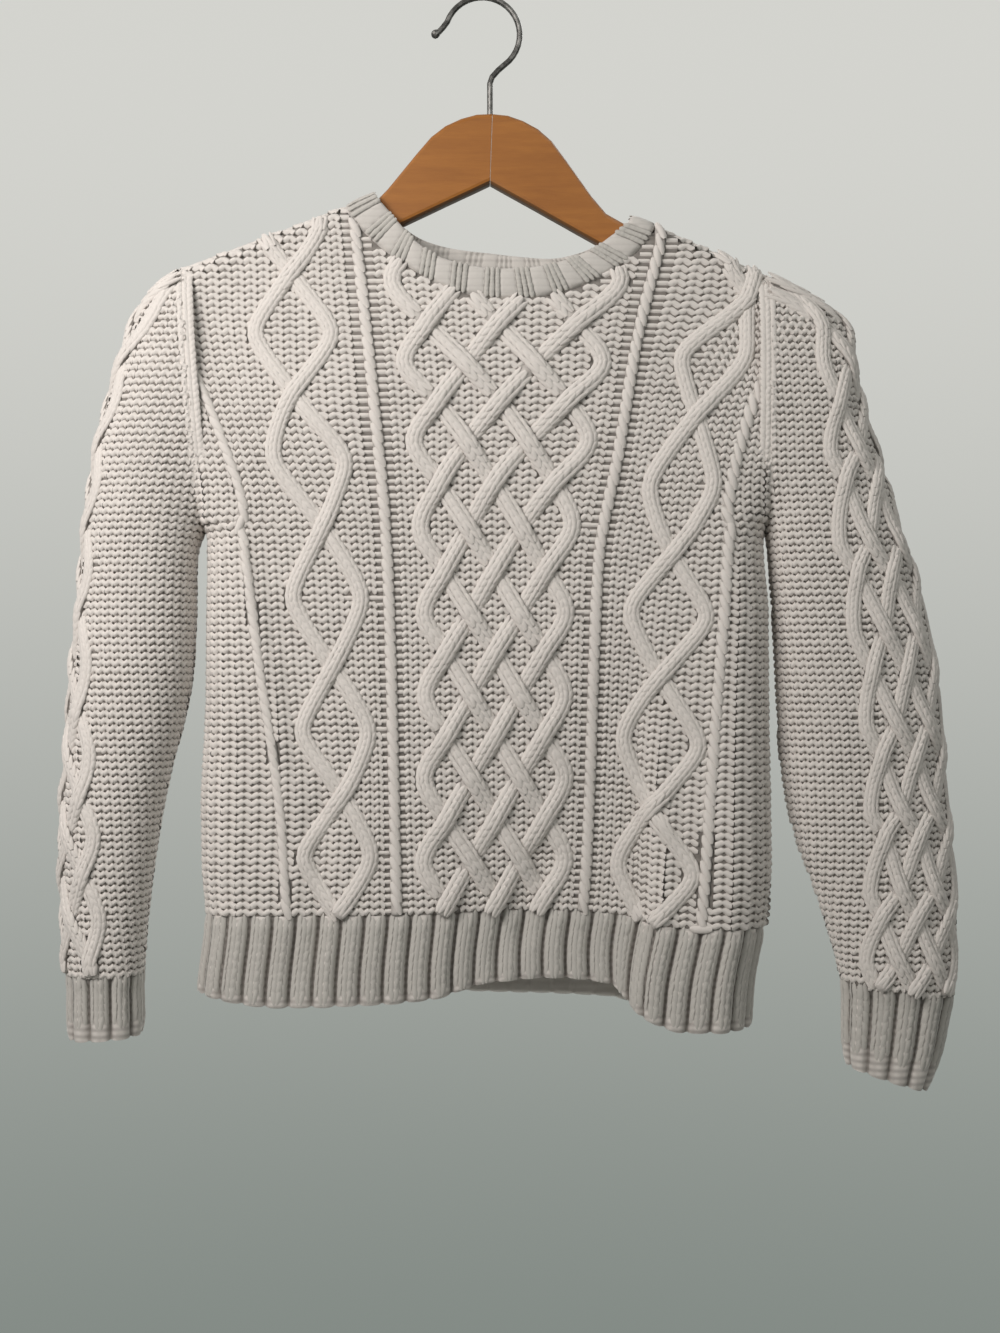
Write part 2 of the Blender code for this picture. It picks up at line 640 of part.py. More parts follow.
def make_hook():
    """The wire hook, with a ball at its tip that grows out of the wire itself."""
    path = np.array(hook_path())
    direction = np.gradient(path, axis=0)
    direction /= np.linalg.norm(direction, axis=1, keepdims=True)
    radii = [WIRE_RADIUS] * len(path)
    bulge = np.radians((150.0, 120.0, 90.0, 60.0, 35.0, 12.0))
    ends = [path[-1] - direction[-1] * TIP_BALL_RADIUS * math.cos(turn) * -1.0 for turn in bulge]
    path = np.concatenate([path[:-1], np.array(ends)])
    direction = np.concatenate([direction[:-1], np.repeat(direction[-1:], len(ends), axis=0)])
    radii = radii[:-1] + [max(TIP_BALL_RADIUS * math.sin(turn), 0.6) for turn in bulge]
    radii[-len(ends)] = WIRE_RADIUS
    sides = 12
    bm = bmesh.new()
    rings = []
    for (x, z), (along_x, along_z), radius in zip(path, direction, radii):
        ring = []
        for j in range(sides):
            angle = 2.0 * math.pi * j / sides
            out = radius * math.cos(angle)
            place = (x - along_z * out, radius * math.sin(angle), z + along_x * out)
            ring.append(bm.verts.new([value * MM for value in place]))
        rings.append(ring)
    for ring, following in zip(rings, rings[1:]):
        for j in range(sides):
            k = (j + 1) % sides
            bm.faces.new((ring[j], ring[k], following[k], following[j]))
    bm.faces.new(rings[0])
    bm.faces.new(rings[-1])
    return new_object("hanger_hook", bm, material("steel", metallic=0.9, roughness=0.35))


def main():
    for obj in list(bpy.data.objects):
        bpy.data.objects.remove(obj, do_unlink=True)
    make_panel("front", "front", "hem_front")
    make_panel("back", "back", "hem_back")
    make_sleeve("sleeve_left", SLEEVE_LEFT, PANEL_WALL, SLEEVE_STEPS_PER_ROW, material("knit"))
    make_sleeve("sleeve_right", SLEEVE_RIGHT, PANEL_WALL, SLEEVE_STEPS_PER_ROW, material("knit"))
    make_sleeve("cuff_left", CUFF_LEFT, RIB_WALL, 1.0, material("rib"))
    make_sleeve("cuff_right", CUFF_RIGHT, RIB_WALL, 1.0, material("rib"))
    make_collar()
    make_arm("hanger_arm_left", -1.0)
    make_arm("hanger_arm_right", 1.0)
    make_hook()


main()
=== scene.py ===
"""Looks of a cable knit sweater hanging on a flat wooden hanger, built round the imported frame.

Tables are in millimetres. The origin is the inside top of the hook, +X is to the right of the
front, the front faces -Y and +Z is up. Cloth is counted as a knitter counts it, seen from its
outside: stitches run to the right and courses run down.
"""

import logging
import math
from dataclasses import dataclass, field
from enum import Enum
from typing import Any, Iterable

import bpy
import numpy as np
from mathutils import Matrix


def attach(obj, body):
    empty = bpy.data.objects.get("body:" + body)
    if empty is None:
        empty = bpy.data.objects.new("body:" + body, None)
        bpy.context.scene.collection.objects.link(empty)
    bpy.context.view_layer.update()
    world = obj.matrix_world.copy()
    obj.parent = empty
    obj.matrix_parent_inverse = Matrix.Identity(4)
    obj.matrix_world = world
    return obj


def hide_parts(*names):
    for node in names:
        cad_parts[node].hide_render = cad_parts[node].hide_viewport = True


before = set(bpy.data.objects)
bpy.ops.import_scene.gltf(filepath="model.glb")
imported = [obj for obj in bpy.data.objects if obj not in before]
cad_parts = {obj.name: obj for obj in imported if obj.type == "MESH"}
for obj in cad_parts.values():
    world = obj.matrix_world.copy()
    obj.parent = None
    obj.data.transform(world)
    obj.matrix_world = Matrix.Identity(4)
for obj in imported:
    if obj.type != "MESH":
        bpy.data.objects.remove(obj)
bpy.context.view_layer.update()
LOG = logging.getLogger("sweater")

MM = 0.001
COURSE = 4.6
STITCH = 5.6
ROW_TOP = -128.0
BODY_COURSES = 100
GRID_STITCH = 0.25
GRID_COURSE = 0.5

# The wall of plain cloth on both sides of its middle surface, and the least that this surface
# stands off the middle plane.
CLOTH_OUT = 0.7
CLOTH_IN = 1.5
LEAST_DEPTH = 0.15

# Outline of the body. The crest line is the shoulder line, carried on over the neck opening.
SHOULDER_LEFT = (-193.3, -175.4)
SHOULDER_RIGHT = (184.3, -180.6)
ARMPIT_LEFT = (-179.8, -341.8)
ARMPIT_RIGHT = (183.0, -339.2)
NECK_LEFT = (-87.7, -135.4)
NECK_RIGHT = (110.7, -147.4)
ARMHOLES = {
    "left": (SHOULDER_LEFT, ARMPIT_LEFT),
    "right": (SHOULDER_RIGHT, ARMPIT_RIGHT),
}
CREST_COLUMNS = ("x", "z")
CREST_ROWS = (
    SHOULDER_LEFT,
    (-120.0, -147.6),
    NECK_LEFT,
    (-30.0, -122.0),
    (20.0, -119.0),
    (60.0, -126.0),
    NECK_RIGHT,
    (140.0, -160.6),
    SHOULDER_RIGHT,
)
EDGE_COLUMNS = ("z", "left", "right")
EDGE_ROWS = (
    (-345.0, -177.6, 181.2),
    (-352.0, -176.4, 180.4),
    (-372.0, -176.4, 181.6),
    (-395.0, -176.8, 183.6),
    (-455.0, -177.4, 184.0),
    (-520.0, -180.4, 185.2),
    (-560.0, -180.0, 185.6),
    (-592.0, -177.8, 182.8),
    (-640.0, -183.0, 174.5),
    (-666.0, -184.0, 173.0),
)
HEM_COLUMNS = ("across", "front_seam", "front_hem", "back_seam", "back_hem")
HEM_ROWS = (
    (0.00, -592.0, -642.0, -592.0, -642.0),
    (0.15, -591.0, -648.5, -592.0, -646.0),
    (0.30, -590.5, -647.0, -593.0, -646.0),
    (0.42, -590.0, -644.0, -594.0, -646.0),
    (0.52, -589.0, -635.0, -595.0, -647.0),
    (0.64, -589.5, -632.0, -596.0, -648.0),
    (0.74, -592.0, -636.0, -598.0, -650.0),
    (0.80, -597.0, -655.0, -600.0, -655.0),
    (0.88, -599.0, -664.0, -601.0, -662.0),
    (1.00, -600.0, -664.0, -600.0, -664.0),
)
DEPTH_COLUMNS = ("across", "front_chest", "front_hem", "back_chest", "back_hem")
DEPTH_ROWS = (
    (0.00, 22.0, 22.0, 19.0, 18.0),
    (0.08, 24.0, 25.0, 20.0, 20.0),
    (0.25, 24.5, 28.0, 20.5, 23.0),
    (0.40, 23.5, 25.0, 20.0, 21.0),
    (0.52, 23.0, 16.0, 19.5, 18.0),
    (0.66, 23.5, 12.0, 20.0, 18.0),
    (0.76, 24.0, 14.0, 20.5, 20.0),
    (0.81, 24.5, 28.0, 20.5, 22.0),
    (0.92, 25.0, 30.0, 20.0, 21.0),
    (1.00, 23.0, 24.0, 19.0, 18.0),
)
CHEST_Z = -400.0
ARMHOLE_DEPTH = 24.0
OVAL_POWER = 2.2
ARCH_REACH = 9.0
ARCH_DEPTH = 9.8
SPREAD_REACH = 150.0
SIDE_ROUND = 24.0

# Large soft folds: a ridge where height is positive, a trough where it is negative.
FOLD_FADE_IN = 0.3
FOLD_END = 1.6
FOLD_FADE_OUT = 0.6
FOLD_COLUMNS = ("top_across", "top_z", "low_across", "low_z", "width", "height")
FRONT_FOLDS = (
    (0.045, -330.0, 0.13, -470.0, 9.0, 3.0),
    (0.94, -330.0, 0.92, -540.0, 15.0, 2.2),
    (0.22, -500.0, 0.20, -600.0, 10.0, -3.0),
    (0.83, -470.0, 0.855, -600.0, 14.0, -2.0),
    (0.60, -540.0, 0.56, -600.0, 14.0, -3.0),
)
BACK_FOLDS = (
    (0.06, -335.0, 0.16, -500.0, 10.0, 3.0),
    (0.94, -335.0, 0.85, -480.0, 10.0, 3.5),
    (0.35, -480.0, 0.32, -600.0, 12.0, -3.0),
    (0.68, -460.0, 0.71, -600.0, 13.0, -3.5),
)

COLLAR_COLUMNS = ("seam_x", "seam_z", "fold_x", "fold_z")
COLLAR_FRONT = (
    (-87.7, -135.4, -68.8, -127.4),
    (-87.0, -136.6, -68.3, -128.4),
    (-85.4, -141.5, -67.0, -131.6),
    (-76.8, -152.3, -60.2, -139.6),
    (-61.4, -166.4, -50.6, -151.0),
    (-42.9, -179.2, -39.0, -163.0),
    (-25.0, -189.4, -23.0, -172.2),
    (0.6, -196.5, 1.9, -177.9),
    (31.4, -197.1, 27.5, -177.9),
    (55.0, -192.0, 46.4, -174.7),
    (76.2, -183.0, 60.5, -169.6),
    (90.2, -174.1, 72.4, -163.8),
    (103.0, -161.9, 85.2, -154.2),
    (109.6, -152.6, 93.6, -147.4),
    (110.5, -148.6, 95.4, -143.6),
    (110.7, -147.4, 95.7, -142.6),
)
COLLAR_BACK = (
    (-87.0, -136.6, -68.3, -128.4),
    (-85.4, -141.5, -67.0, -131.6),
    (-77.0, -150.0, -60.0, -138.0),
    (-62.0, -161.5, -50.0, -146.5),
    (-43.0, -170.5, -38.0, -153.5),
    (-23.0, -176.8, -20.0, -158.5),
    (1.0, -180.5, 4.0, -161.5),
    (31.0, -183.0, 27.5, -164.0),
    (54.0, -182.5, 46.0, -165.0),
    (75.0, -177.6, 61.0, -162.4),
    (90.0, -170.0, 73.0, -158.0),
    (103.0, -159.6, 85.5, -151.8),
    (109.6, -152.4, 93.6, -147.0),
    (110.5, -148.6, 95.4, -143.6),
)
COLLAR_LEAN_IN = 0.94
# The band's section, round from its seam: how far up it, and how far out of its middle.
COLLAR_SECTION = (
    (-0.06, 0.3),
    (0.12, 0.85),
    (0.35, 1.0),
    (0.6, 1.05),
    (0.8, 1.0),
    (0.93, 0.8),
    (1.0, 0.35),
    (1.0, -0.35),
    (0.93, -0.8),
    (0.8, -0.98),
    (0.4, -1.0),
    (0.0, -1.0),
)

RING_COLUMNS = ("inner_x", "inner_z", "outer_x", "outer_z", "half_depth", "middle_y")
SLEEVE_LEFT = (
    (-180.2, -341.8, -193.7, -175.4, 24.0, 0.0),
    (-181.8, -345.2, -205.0, -183.0, 24.2, 0.0),
    (-183.4, -348.4, -219.6, -201.0, 24.5, 0.0),
    (-185.2, -353.0, -231.6, -231.0, 25.4, 0.0),
    (-186.6, -359.0, -240.8, -263.0, 26.4, 0.0),
    (-187.4, -367.0, -248.6, -298.0, 27.4, -0.5),
    (-187.6, -380.0, -254.4, -340.0, 28.4, -1.0),
    (-187.6, -399.0, -258.4, -386.0, 29.0, -1.5),
    (-189.4, -436.0, -262.4, -433.0, 29.0, -2.5),
    (-194.6, -466.0, -265.0, -466.0, 28.6, -3.0),
    (-202.9, -497.0, -266.9, -497.0, 28.0, -3.5),
    (-212.4, -547.0, -269.4, -547.0, 26.0, -4.0),
    (-218.9, -600.0, -268.2, -600.0, 23.5, -4.5),
    (-220.8, -630.0, -266.2, -630.0, 22.0, -5.0),
)
SLEEVE_RIGHT = (
    (183.4, -339.2, 184.7, -180.6, 24.0, 0.0),
    (184.6, -342.4, 203.5, -190.6, 24.0, 0.0),
    (185.4, -346.0, 224.0, -203.0, 24.0, 0.0),
    (186.4, -350.0, 237.4, -221.0, 24.0, 0.0),
    (187.2, -355.6, 241.9, -253.0, 24.0, 0.5),
    (187.9, -362.6, 250.9, -285.0, 24.4, 1.0),
    (188.6, -373.0, 263.0, -323.0, 24.6, 1.5),
    (189.6, -391.0, 275.8, -365.0, 24.8, 2.0),
    (191.4, -420.0, 288.0, -411.0, 25.0, 2.5),
    (192.8, -455.0, 295.0, -458.0, 25.0, 3.0),
    (195.4, -496.0, 298.2, -506.0, 25.0, 3.0),
    (203.5, -538.0, 302.7, -547.0, 25.0, 3.0),
    (218.2, -579.0, 305.9, -586.0, 24.4, 2.5),
    (231.0, -618.0, 305.9, -624.0, 23.4, 2.0),
    (235.5, -637.0, 304.6, -646.0, 22.6, 2.0),
)
CUFF_LEFT = (
    (-220.8, -630.4, -266.2, -630.4, 21.6, -5.0),
    (-221.6, -640.0, -265.4, -640.0, 20.6, -5.0),
    (-221.2, -652.0, -265.6, -652.6, 20.4, -5.0),
    (-220.9, -669.0, -265.4, -671.6, 20.8, -5.0),
)
CUFF_RIGHT = (
    (235.5, -637.4, 304.5, -646.4, 22.2, 2.0),
    (236.4, -646.0, 302.4, -657.0, 20.8, 2.0),
    (236.2, -667.0, 297.6, -680.0, 20.4, 2.0),
    (237.6, -690.6, 288.2, -706.4, 20.6, 2.0),
)

# The ribs and the neck band look a little darker than the body; the ribs' darker tone is partly
# painted shade, for the light that falls off towards the hem and the cuffs.
RIB_TONE_AND_SHADE = (0.510, 0.480, 0.440)
BAND_TONE = (0.585, 0.545, 0.505)

# Where the cables stand across the front, as heights and places in millimetres.
CENTRE_LINES = {
    "left_diamond": ((-176.0, -126.1), (-259.0, -122.9), (-342.0, -103.7), (-432.0, -97.3),
                     (-515.0, -90.9), (-592.0, -94.1)),
    "left_rope": ((-141.0, -84.5), (-250.0, -71.7), (-358.0, -62.1), (-454.0, -58.9),
                  (-592.0, -55.7)),
    "lattice": ((-205.0, 10.2), (-256.0, 11.5), (-308.0, 7.7), (-369.0, 8.0), (-592.0, 9.0)),
    "right_rope": ((-154.0, 117.1), (-218.0, 101.1), (-294.0, 88.3), (-365.0, 75.5),
                   (-557.0, 68.5), (-592.0, 65.9)),
    "right_diamond": ((-189.0, 174.7), (-266.0, 139.5), (-355.0, 123.5), (-433.0, 115.8),
                      (-519.0, 110.1), (-598.0, 107.5)),
}
CENTRE_STITCHES = {
    "left_diamond": 15.0,
    "left_rope": 22.0,
    "lattice": 34.0,
    "right_rope": 45.5,
    "right_diamond": 54.0,
}
PANEL_STITCHES = 66.0
HEM_RIBS = 27
# The pattern is laid out on the middle plane and closes up a little where the cloth stands out.
LAYOUT_MIDDLE = (-433.0, 11.5)
LAYOUT_SCALE = 0.975
ARMHOLE_STITCHES = 4.0
PANEL_EDGE_STITCHES = 0.45

# Plain ground beside a rope: the first wave's edge, the straight bar's middle and its width,
# in stitches from the rope's middle.
WAVE_EDGE = 1.38
BAR_MIDDLE = 0.94
BAR_WIDTH = 0.88
# Beside a cable that runs nearly upright, the waves are straight too.
BESIDE_CABLE = 3.2
UPRIGHT_LEAN = 0.11
BAR_HEIGHT = 1.6
WAVE_HEIGHT = 2.0
GROUND_SINK = 0.35
GROUND_OVERLAP = 1.04

# A strand is an oval tube. Its knit stitches tip with its round, overlap and sink in a little.
TUBE_SIDES = 7
STRAND_OVAL = 0.62
LEG_LEAN = math.radians(9.0)
LEG_TIP = 0.80
LEG_OVERLAP = 1.9
LEG_SPREAD = 1.36
LEG_DRAW_IN = 0.98
LEG_SINK = 0.45
LEG_HEIGHT = 1.05
ROPE_LEAN = math.radians(-21.0)
ROPE_STEP = 1.7


def table(columns: Iterable[str], rows: Iterable[Iterable[float]]) -> dict[str, np.ndarray]:
    """A short table as one array for each named column."""
    return dict(zip(columns, np.array(rows, float).T))


def smooth_interp(at: Any, xs: Any, ys: Any) -> np.ndarray:
    """Cubic interpolation through a table's points, with tangents that never overshoot.

    Args:
        at: the places to read.
        xs: the table's places, rising or falling.
        ys: the table's values.

    Returns:
        The value at each place, held level past both ends.
    """
    xs = np.asarray(xs, float)
    ys = np.asarray(ys, float)
    if xs[0] > xs[-1]:
        xs = xs[::-1]
        ys = ys[::-1]
    slopes = np.diff(ys) / np.diff(xs)
    tangents = np.zeros(len(xs))
    same_way = slopes[:-1] * slopes[1:] > 0
    total = np.where(same_way, slopes[:-1] + slopes[1:], 1.0)
    tangents[1:-1] = np.where(same_way, 2.0 * slopes[:-1] * slopes[1:] / total, 0.0)
    tangents[0] = slopes[0]
    tangents[-1] = slopes[-1]
    at = np.clip(at, xs[0], xs[-1])
    k = np.clip(np.searchsorted(xs, at, side="right") - 1, 0, len(xs) - 2)
    width = xs[k + 1] - xs[k]
    t = (at - xs[k]) / width
    rise = t * t * (3.0 - 2.0 * t)
    bend_in = t * (1.0 - t) * (1.0 - t)
    bend_out = -t * t * (1.0 - t)
    curve = ys[k] + (ys[k + 1] - ys[k]) * rise
    return curve + width * (tangents[k] * bend_in + tangents[k + 1] * bend_out)


def running_total(steps: np.ndarray) -> np.ndarray:
    """Distance covered at each point, from the lengths between the points."""
    return np.concatenate([[0.0], np.cumsum(steps)])


def joined_round(grid: np.ndarray) -> np.ndarray:
    """A grid with its first column again at its end, for what runs all the way round."""
    return np.concatenate([grid, grid[:, :1]], axis=1)


def every(step: float, start: float, end: float) -> np.ndarray:
    """Evenly spaced places, the last one included."""
    return np.arange(start, end + 0.01, step)


def turned(along: np.ndarray, side: np.ndarray, angle: float) -> np.ndarray:
    """A direction turned by an angle towards the side."""
    return along * math.cos(angle) + side * math.sin(angle)


def smoothstep(value: Any) -> np.ndarray:
    """A soft step from 0 to 1."""
    value = np.clip(value, 0.0, 1.0)
    return value * value * (3.0 - 2.0 * value)


def quarter_round(distance: np.ndarray, reach: float) -> np.ndarray:
    """The height of a quarter ellipse at a distance from its edge, from 0 to 1."""
    left = 1.0 - np.clip(distance / reach, 0.0, 1.0)
    return np.sqrt(1.0 - left * left)


def unit(vectors: np.ndarray) -> np.ndarray:
    """Vectors at length 1."""
    return vectors / np.maximum(np.linalg.norm(vectors, axis=-1, keepdims=True), 1e-12)


def line_between(start: tuple, end: tuple, at_z: np.ndarray) -> np.ndarray:
    """x on the straight line between two (x, z) points."""
    return start[0] + (end[0] - start[0]) * (at_z - start[1]) / (end[1] - start[1])


def body_edge(side: str, z: np.ndarray) -> np.ndarray:
    """x of the body's side edge: the armhole line above the armpit, the side seam below it.

    Args:
        side: "left" or "right".
        z: heights, in millimetres.

    Returns:
        The edge at each height.
    """
    shoulder, armpit = ARMHOLES[side]
    edges = table(EDGE_COLUMNS, EDGE_ROWS)
    levels = np.concatenate([[armpit[1]], edges["z"]])
    places = np.concatenate([[armpit[0]], edges[side]])
    below = smooth_interp(z, levels, places)
    return np.where(z > armpit[1], line_between(shoulder, armpit, z), below)


def armhole_depth(side: str, z: np.ndarray) -> np.ndarray:
    """Half depth of the armhole's oval, which is 0 at the shoulder point and at the armpit.

    Args:
        side: "left" or "right".
        z: heights, in millimetres.

    Returns:
        The depth at each height.
    """
    shoulder, armpit = ARMHOLES[side]
    t = np.clip((shoulder[1] - z) / (shoulder[1] - armpit[1]), 0.0, 1.0)
    return ARMHOLE_DEPTH * (1.0 - np.abs(2.0 * t - 1.0) ** OVAL_POWER) ** (1.0 / OVAL_POWER)


def fold_heights(folds: tuple, across: np.ndarray, z: np.ndarray) -> np.ndarray:
    """Sum of the soft folds at a point, each along its own slanted line.

    Args:
        folds: the rows of a fold table.
        across: places across the body, from 0 at the left edge to 1 at the right.
        z: heights, in millimetres.

    Returns:
        The height of the folds at each place.
    """
    total = np.zeros_like(z)
    half = (body_edge("right", z) - body_edge("left", z)) / 2.0
    for row in folds:
        fold = dict(zip(FOLD_COLUMNS, row))
        t = (fold["top_z"] - z) / (fold["top_z"] - fold["low_z"])
        middle = fold["top_across"] + (fold["low_across"] - fold["top_across"]) * t
        away = (across - middle) * 2.0 * half / fold["width"]
        along = smoothstep(t / FOLD_FADE_IN) * smoothstep((FOLD_END - t) / FOLD_FADE_OUT)
        total += fold["height"] * np.exp(-away * away) * along
    return total


def hem_levels(face: str, across: np.ndarray) -> tuple[np.ndarray, np.ndarray]:
    """The heights of the rib's upper and lower edge across the body.

    Args:
        face: "front" or "back".
        across: places from 0 at the left edge to 1 at the right.

    Returns:
        The seam's heights and the lower edge's heights.
    """
    hem = table(HEM_COLUMNS, HEM_ROWS)
    seam_z = smooth_interp(across, hem["across"], hem[face + "_seam"])
    return seam_z, smooth_interp(across, hem["across"], hem[face + "_hem"])


def body_depth(face: str, x: np.ndarray, z: np.ndarray) -> np.ndarray:
    """Distance of the cloth's middle surface from the middle plane.

    Args:
        face: "front" or "back".
        x: places across, in millimetres.
        z: heights, in millimetres.

    Returns:
        The depth at each place, never negative.
    """
    folds = {"front": FRONT_FOLDS, "back": BACK_FOLDS}[face]
    left = body_edge("left", z)
    right = body_edge("right", z)
    across = np.clip((x - left) / (right - left), 0.0, 1.0)
    depth = table(DEPTH_COLUMNS, DEPTH_ROWS)
    chest = smooth_interp(across, depth["across"], depth[face + "_chest"])
    low = smooth_interp(across, depth["across"], depth[face + "_hem"])
    seam_z = hem_levels(face, across)[0]
    full = chest + (low - chest) * smoothstep((CHEST_Z - z) / (CHEST_Z - seam_z))
    crest = table(CREST_COLUMNS, CREST_ROWS)
    fall = smooth_interp(x, crest["x"], crest["z"]) - z
    spread = smoothstep(fall / SPREAD_REACH)
    arch = ARCH_DEPTH * quarter_round(fall, ARCH_REACH)
    body = arch + (full - ARCH_DEPTH + fold_heights(folds, across, z)) * spread
    edge = np.where(across < 0.5, armhole_depth("left", z), armhole_depth("right", z))
    from_edge = np.minimum(x - left, right - x)
    return edge + (body - edge) * quarter_round(from_edge, SIDE_ROUND)


def panel_top(face: str, x: np.ndarray) -> np.ndarray:
    """Height of a panel's upper edge: the shoulder line, and the collar seam between.

    Args:
        face: "front" or "back".
        x: places across, in millimetres.

    Returns:
        The edge's height at each place.
    """
    crest = table(CREST_COLUMNS, CREST_ROWS)
    shoulder = smooth_interp(x, crest["x"], crest["z"])
    collar = table(COLLAR_COLUMNS, {"front": COLLAR_FRONT, "back": COLLAR_BACK}[face])
    neck = smooth_interp(x, collar["seam_x"], collar["seam_z"])
    inside = (x > collar["seam_x"][0]) & (x < collar["seam_x"][-1])
    return np.where(inside, np.minimum(neck, shoulder), shoulder)


@dataclass
class KnitMap:
    """A patch of cloth measured in stitches across and courses down.

    Attributes:
        first_stitch: the stitch count of the grid's first column.
        stitch_step: stitches from one column to the next.
        course_step: courses from one row to the next.
        points: the cloth's outer face, in millimetres.
        outward: unit normals out of the cloth.
        inside: 1 where the cloth is, 0 outside its outline.
    """

    first_stitch: float
    stitch_step: float
    course_step: float
    points: np.ndarray
    outward: np.ndarray
    inside: np.ndarray

    @classmethod
    def from_points(cls, first_stitch: float, stitch_step: float, course_step: float,
                    points: np.ndarray, inside: np.ndarray) -> "KnitMap":
        """A map whose normals come from its own points.

        Args:
            first_stitch: the stitch count of the grid's first column.
            stitch_step: stitches from one column to the next.
            course_step: courses from one row to the next.
            points: the cloth's outer face, in millimetres.
            inside: whether each point is within the cloth's outline.

        Returns:
            The map.
        """
        across = np.gradient(points, axis=1)
        down = np.gradient(points, axis=0)
        outward = unit(np.cross(down, across))
        return cls(first_stitch, stitch_step, course_step, points, outward, inside.astype(float))

    def _read(self, grid: np.ndarray, stitch: np.ndarray, course: np.ndarray) -> np.ndarray:
        """A value between the grid's points.

        Args:
            grid: a number or a vector for each point.
            stitch: places across, in stitches.
            course: places down, in courses.

        Returns:
            The value at each place, held level past the grid's edges.
        """
        rows, columns = grid.shape[:2]
        stitch, course = np.broadcast_arrays(np.asarray(stitch, float), np.asarray(course, float))
        u = np.clip((stitch - self.first_stitch) / self.stitch_step, 0.0, columns - 1.001)
        v = np.clip(course / self.course_step, 0.0, rows - 1.001)
        j = u.astype(int)
        i = v.astype(int)
        a = u - j
        b = v - i
        if grid.ndim == 3:
            a = a[..., None]
            b = b[..., None]
        upper = grid[i, j] * (1.0 - a) + grid[i, j + 1] * a
        lower = grid[i + 1, j] * (1.0 - a) + grid[i + 1, j + 1] * a
        return upper * (1.0 - b) + lower * b

    def place(self, stitch: Any, course: Any, lift: Any = 0.0) -> np.ndarray:
        """Points on the cloth, or a little above it.

        Args:
            stitch: places across, in stitches.
            course: places down, in courses.
            lift: heights over the cloth's outer face, in millimetres.

        Returns:
            The points, in millimetres.
        """
        lift = np.asarray(lift, float)
        base = self._read(self.points, stitch, course)
        return base + self.normal(stitch, course) * lift[..., None]

    def normal(self, stitch: Any, course: Any) -> np.ndarray:
        """Unit normals out of the cloth."""
        return unit(self._read(self.outward, stitch, course))

    def covers(self, stitch: Any, course: Any) -> np.ndarray:
        """Whether each place is inside the cloth's outline."""
        return self._read(self.inside, stitch, course) > 0.5

    def heading(self, stitch: Any, course: Any, right: Any, down: Any) -> np.ndarray:
        """Unit direction on the cloth for a step given in stitches and courses.

        Args:
            stitch: places across, in stitches.
            course: places down, in courses.
            right: the step's stitches.
            down: the step's courses.

        Returns:
            The direction at each place.
        """
        step = 0.25
        right = np.asarray(right, float)
        down = np.asarray(down, float)
        after = self.place(stitch + right * step, course + down * step)
        before = self.place(stitch - right * step, course - down * step)
        return unit(after - before)

    def pitch(self, stitch: Any, course: Any) -> np.ndarray:
        """Width of one stitch at a place.

        Args:
            stitch: places across, in stitches.
            course: places down, in courses.

        Returns:
            The widths, in millimetres.
        """
        after = self._read(self.points, np.asarray(stitch) + 0.5, course)
        before = self._read(self.points, np.asarray(stitch) - 0.5, course)
        return np.linalg.norm(after - before, axis=-1)


class Shape(Enum):
    """The small forms that yarn takes on the face of the cloth."""

    PURL = 0
    CLOSE_PURL = 1
    BAR = 2
    LEG = 3


@dataclass
class Yarns:
    """Stitches waiting to be set on a piece: where each stands and how it lies."""

    points: list = field(default_factory=list)
    along: list = field(default_factory=list)
    up: list = field(default_factory=list)
    size: list = field(default_factory=list)
    shape: list = field(default_factory=list)

    def add(self, points: np.ndarray, along: np.ndarray, up: np.ndarray, size: np.ndarray,
            shape: Shape) -> None:
        """Adds a run of stitches of one shape.

        Args:
            points: their middles, in millimetres.
            along: the direction that each one's yarn runs in.
            up: the direction out of the cloth.
            size: length, width and height of each, in millimetres.
            shape: the form of the yarn.
        """
        count = len(points)
        self.points.append(points)
        self.along.append(along)
        self.up.append(up)
        self.size.append(np.broadcast_to(size, (count, 3)))
        self.shape.append(np.full(count, shape.value))

    def count(self) -> int:
        """How many stitches are waiting."""
        return sum(len(run) for run in self.points)


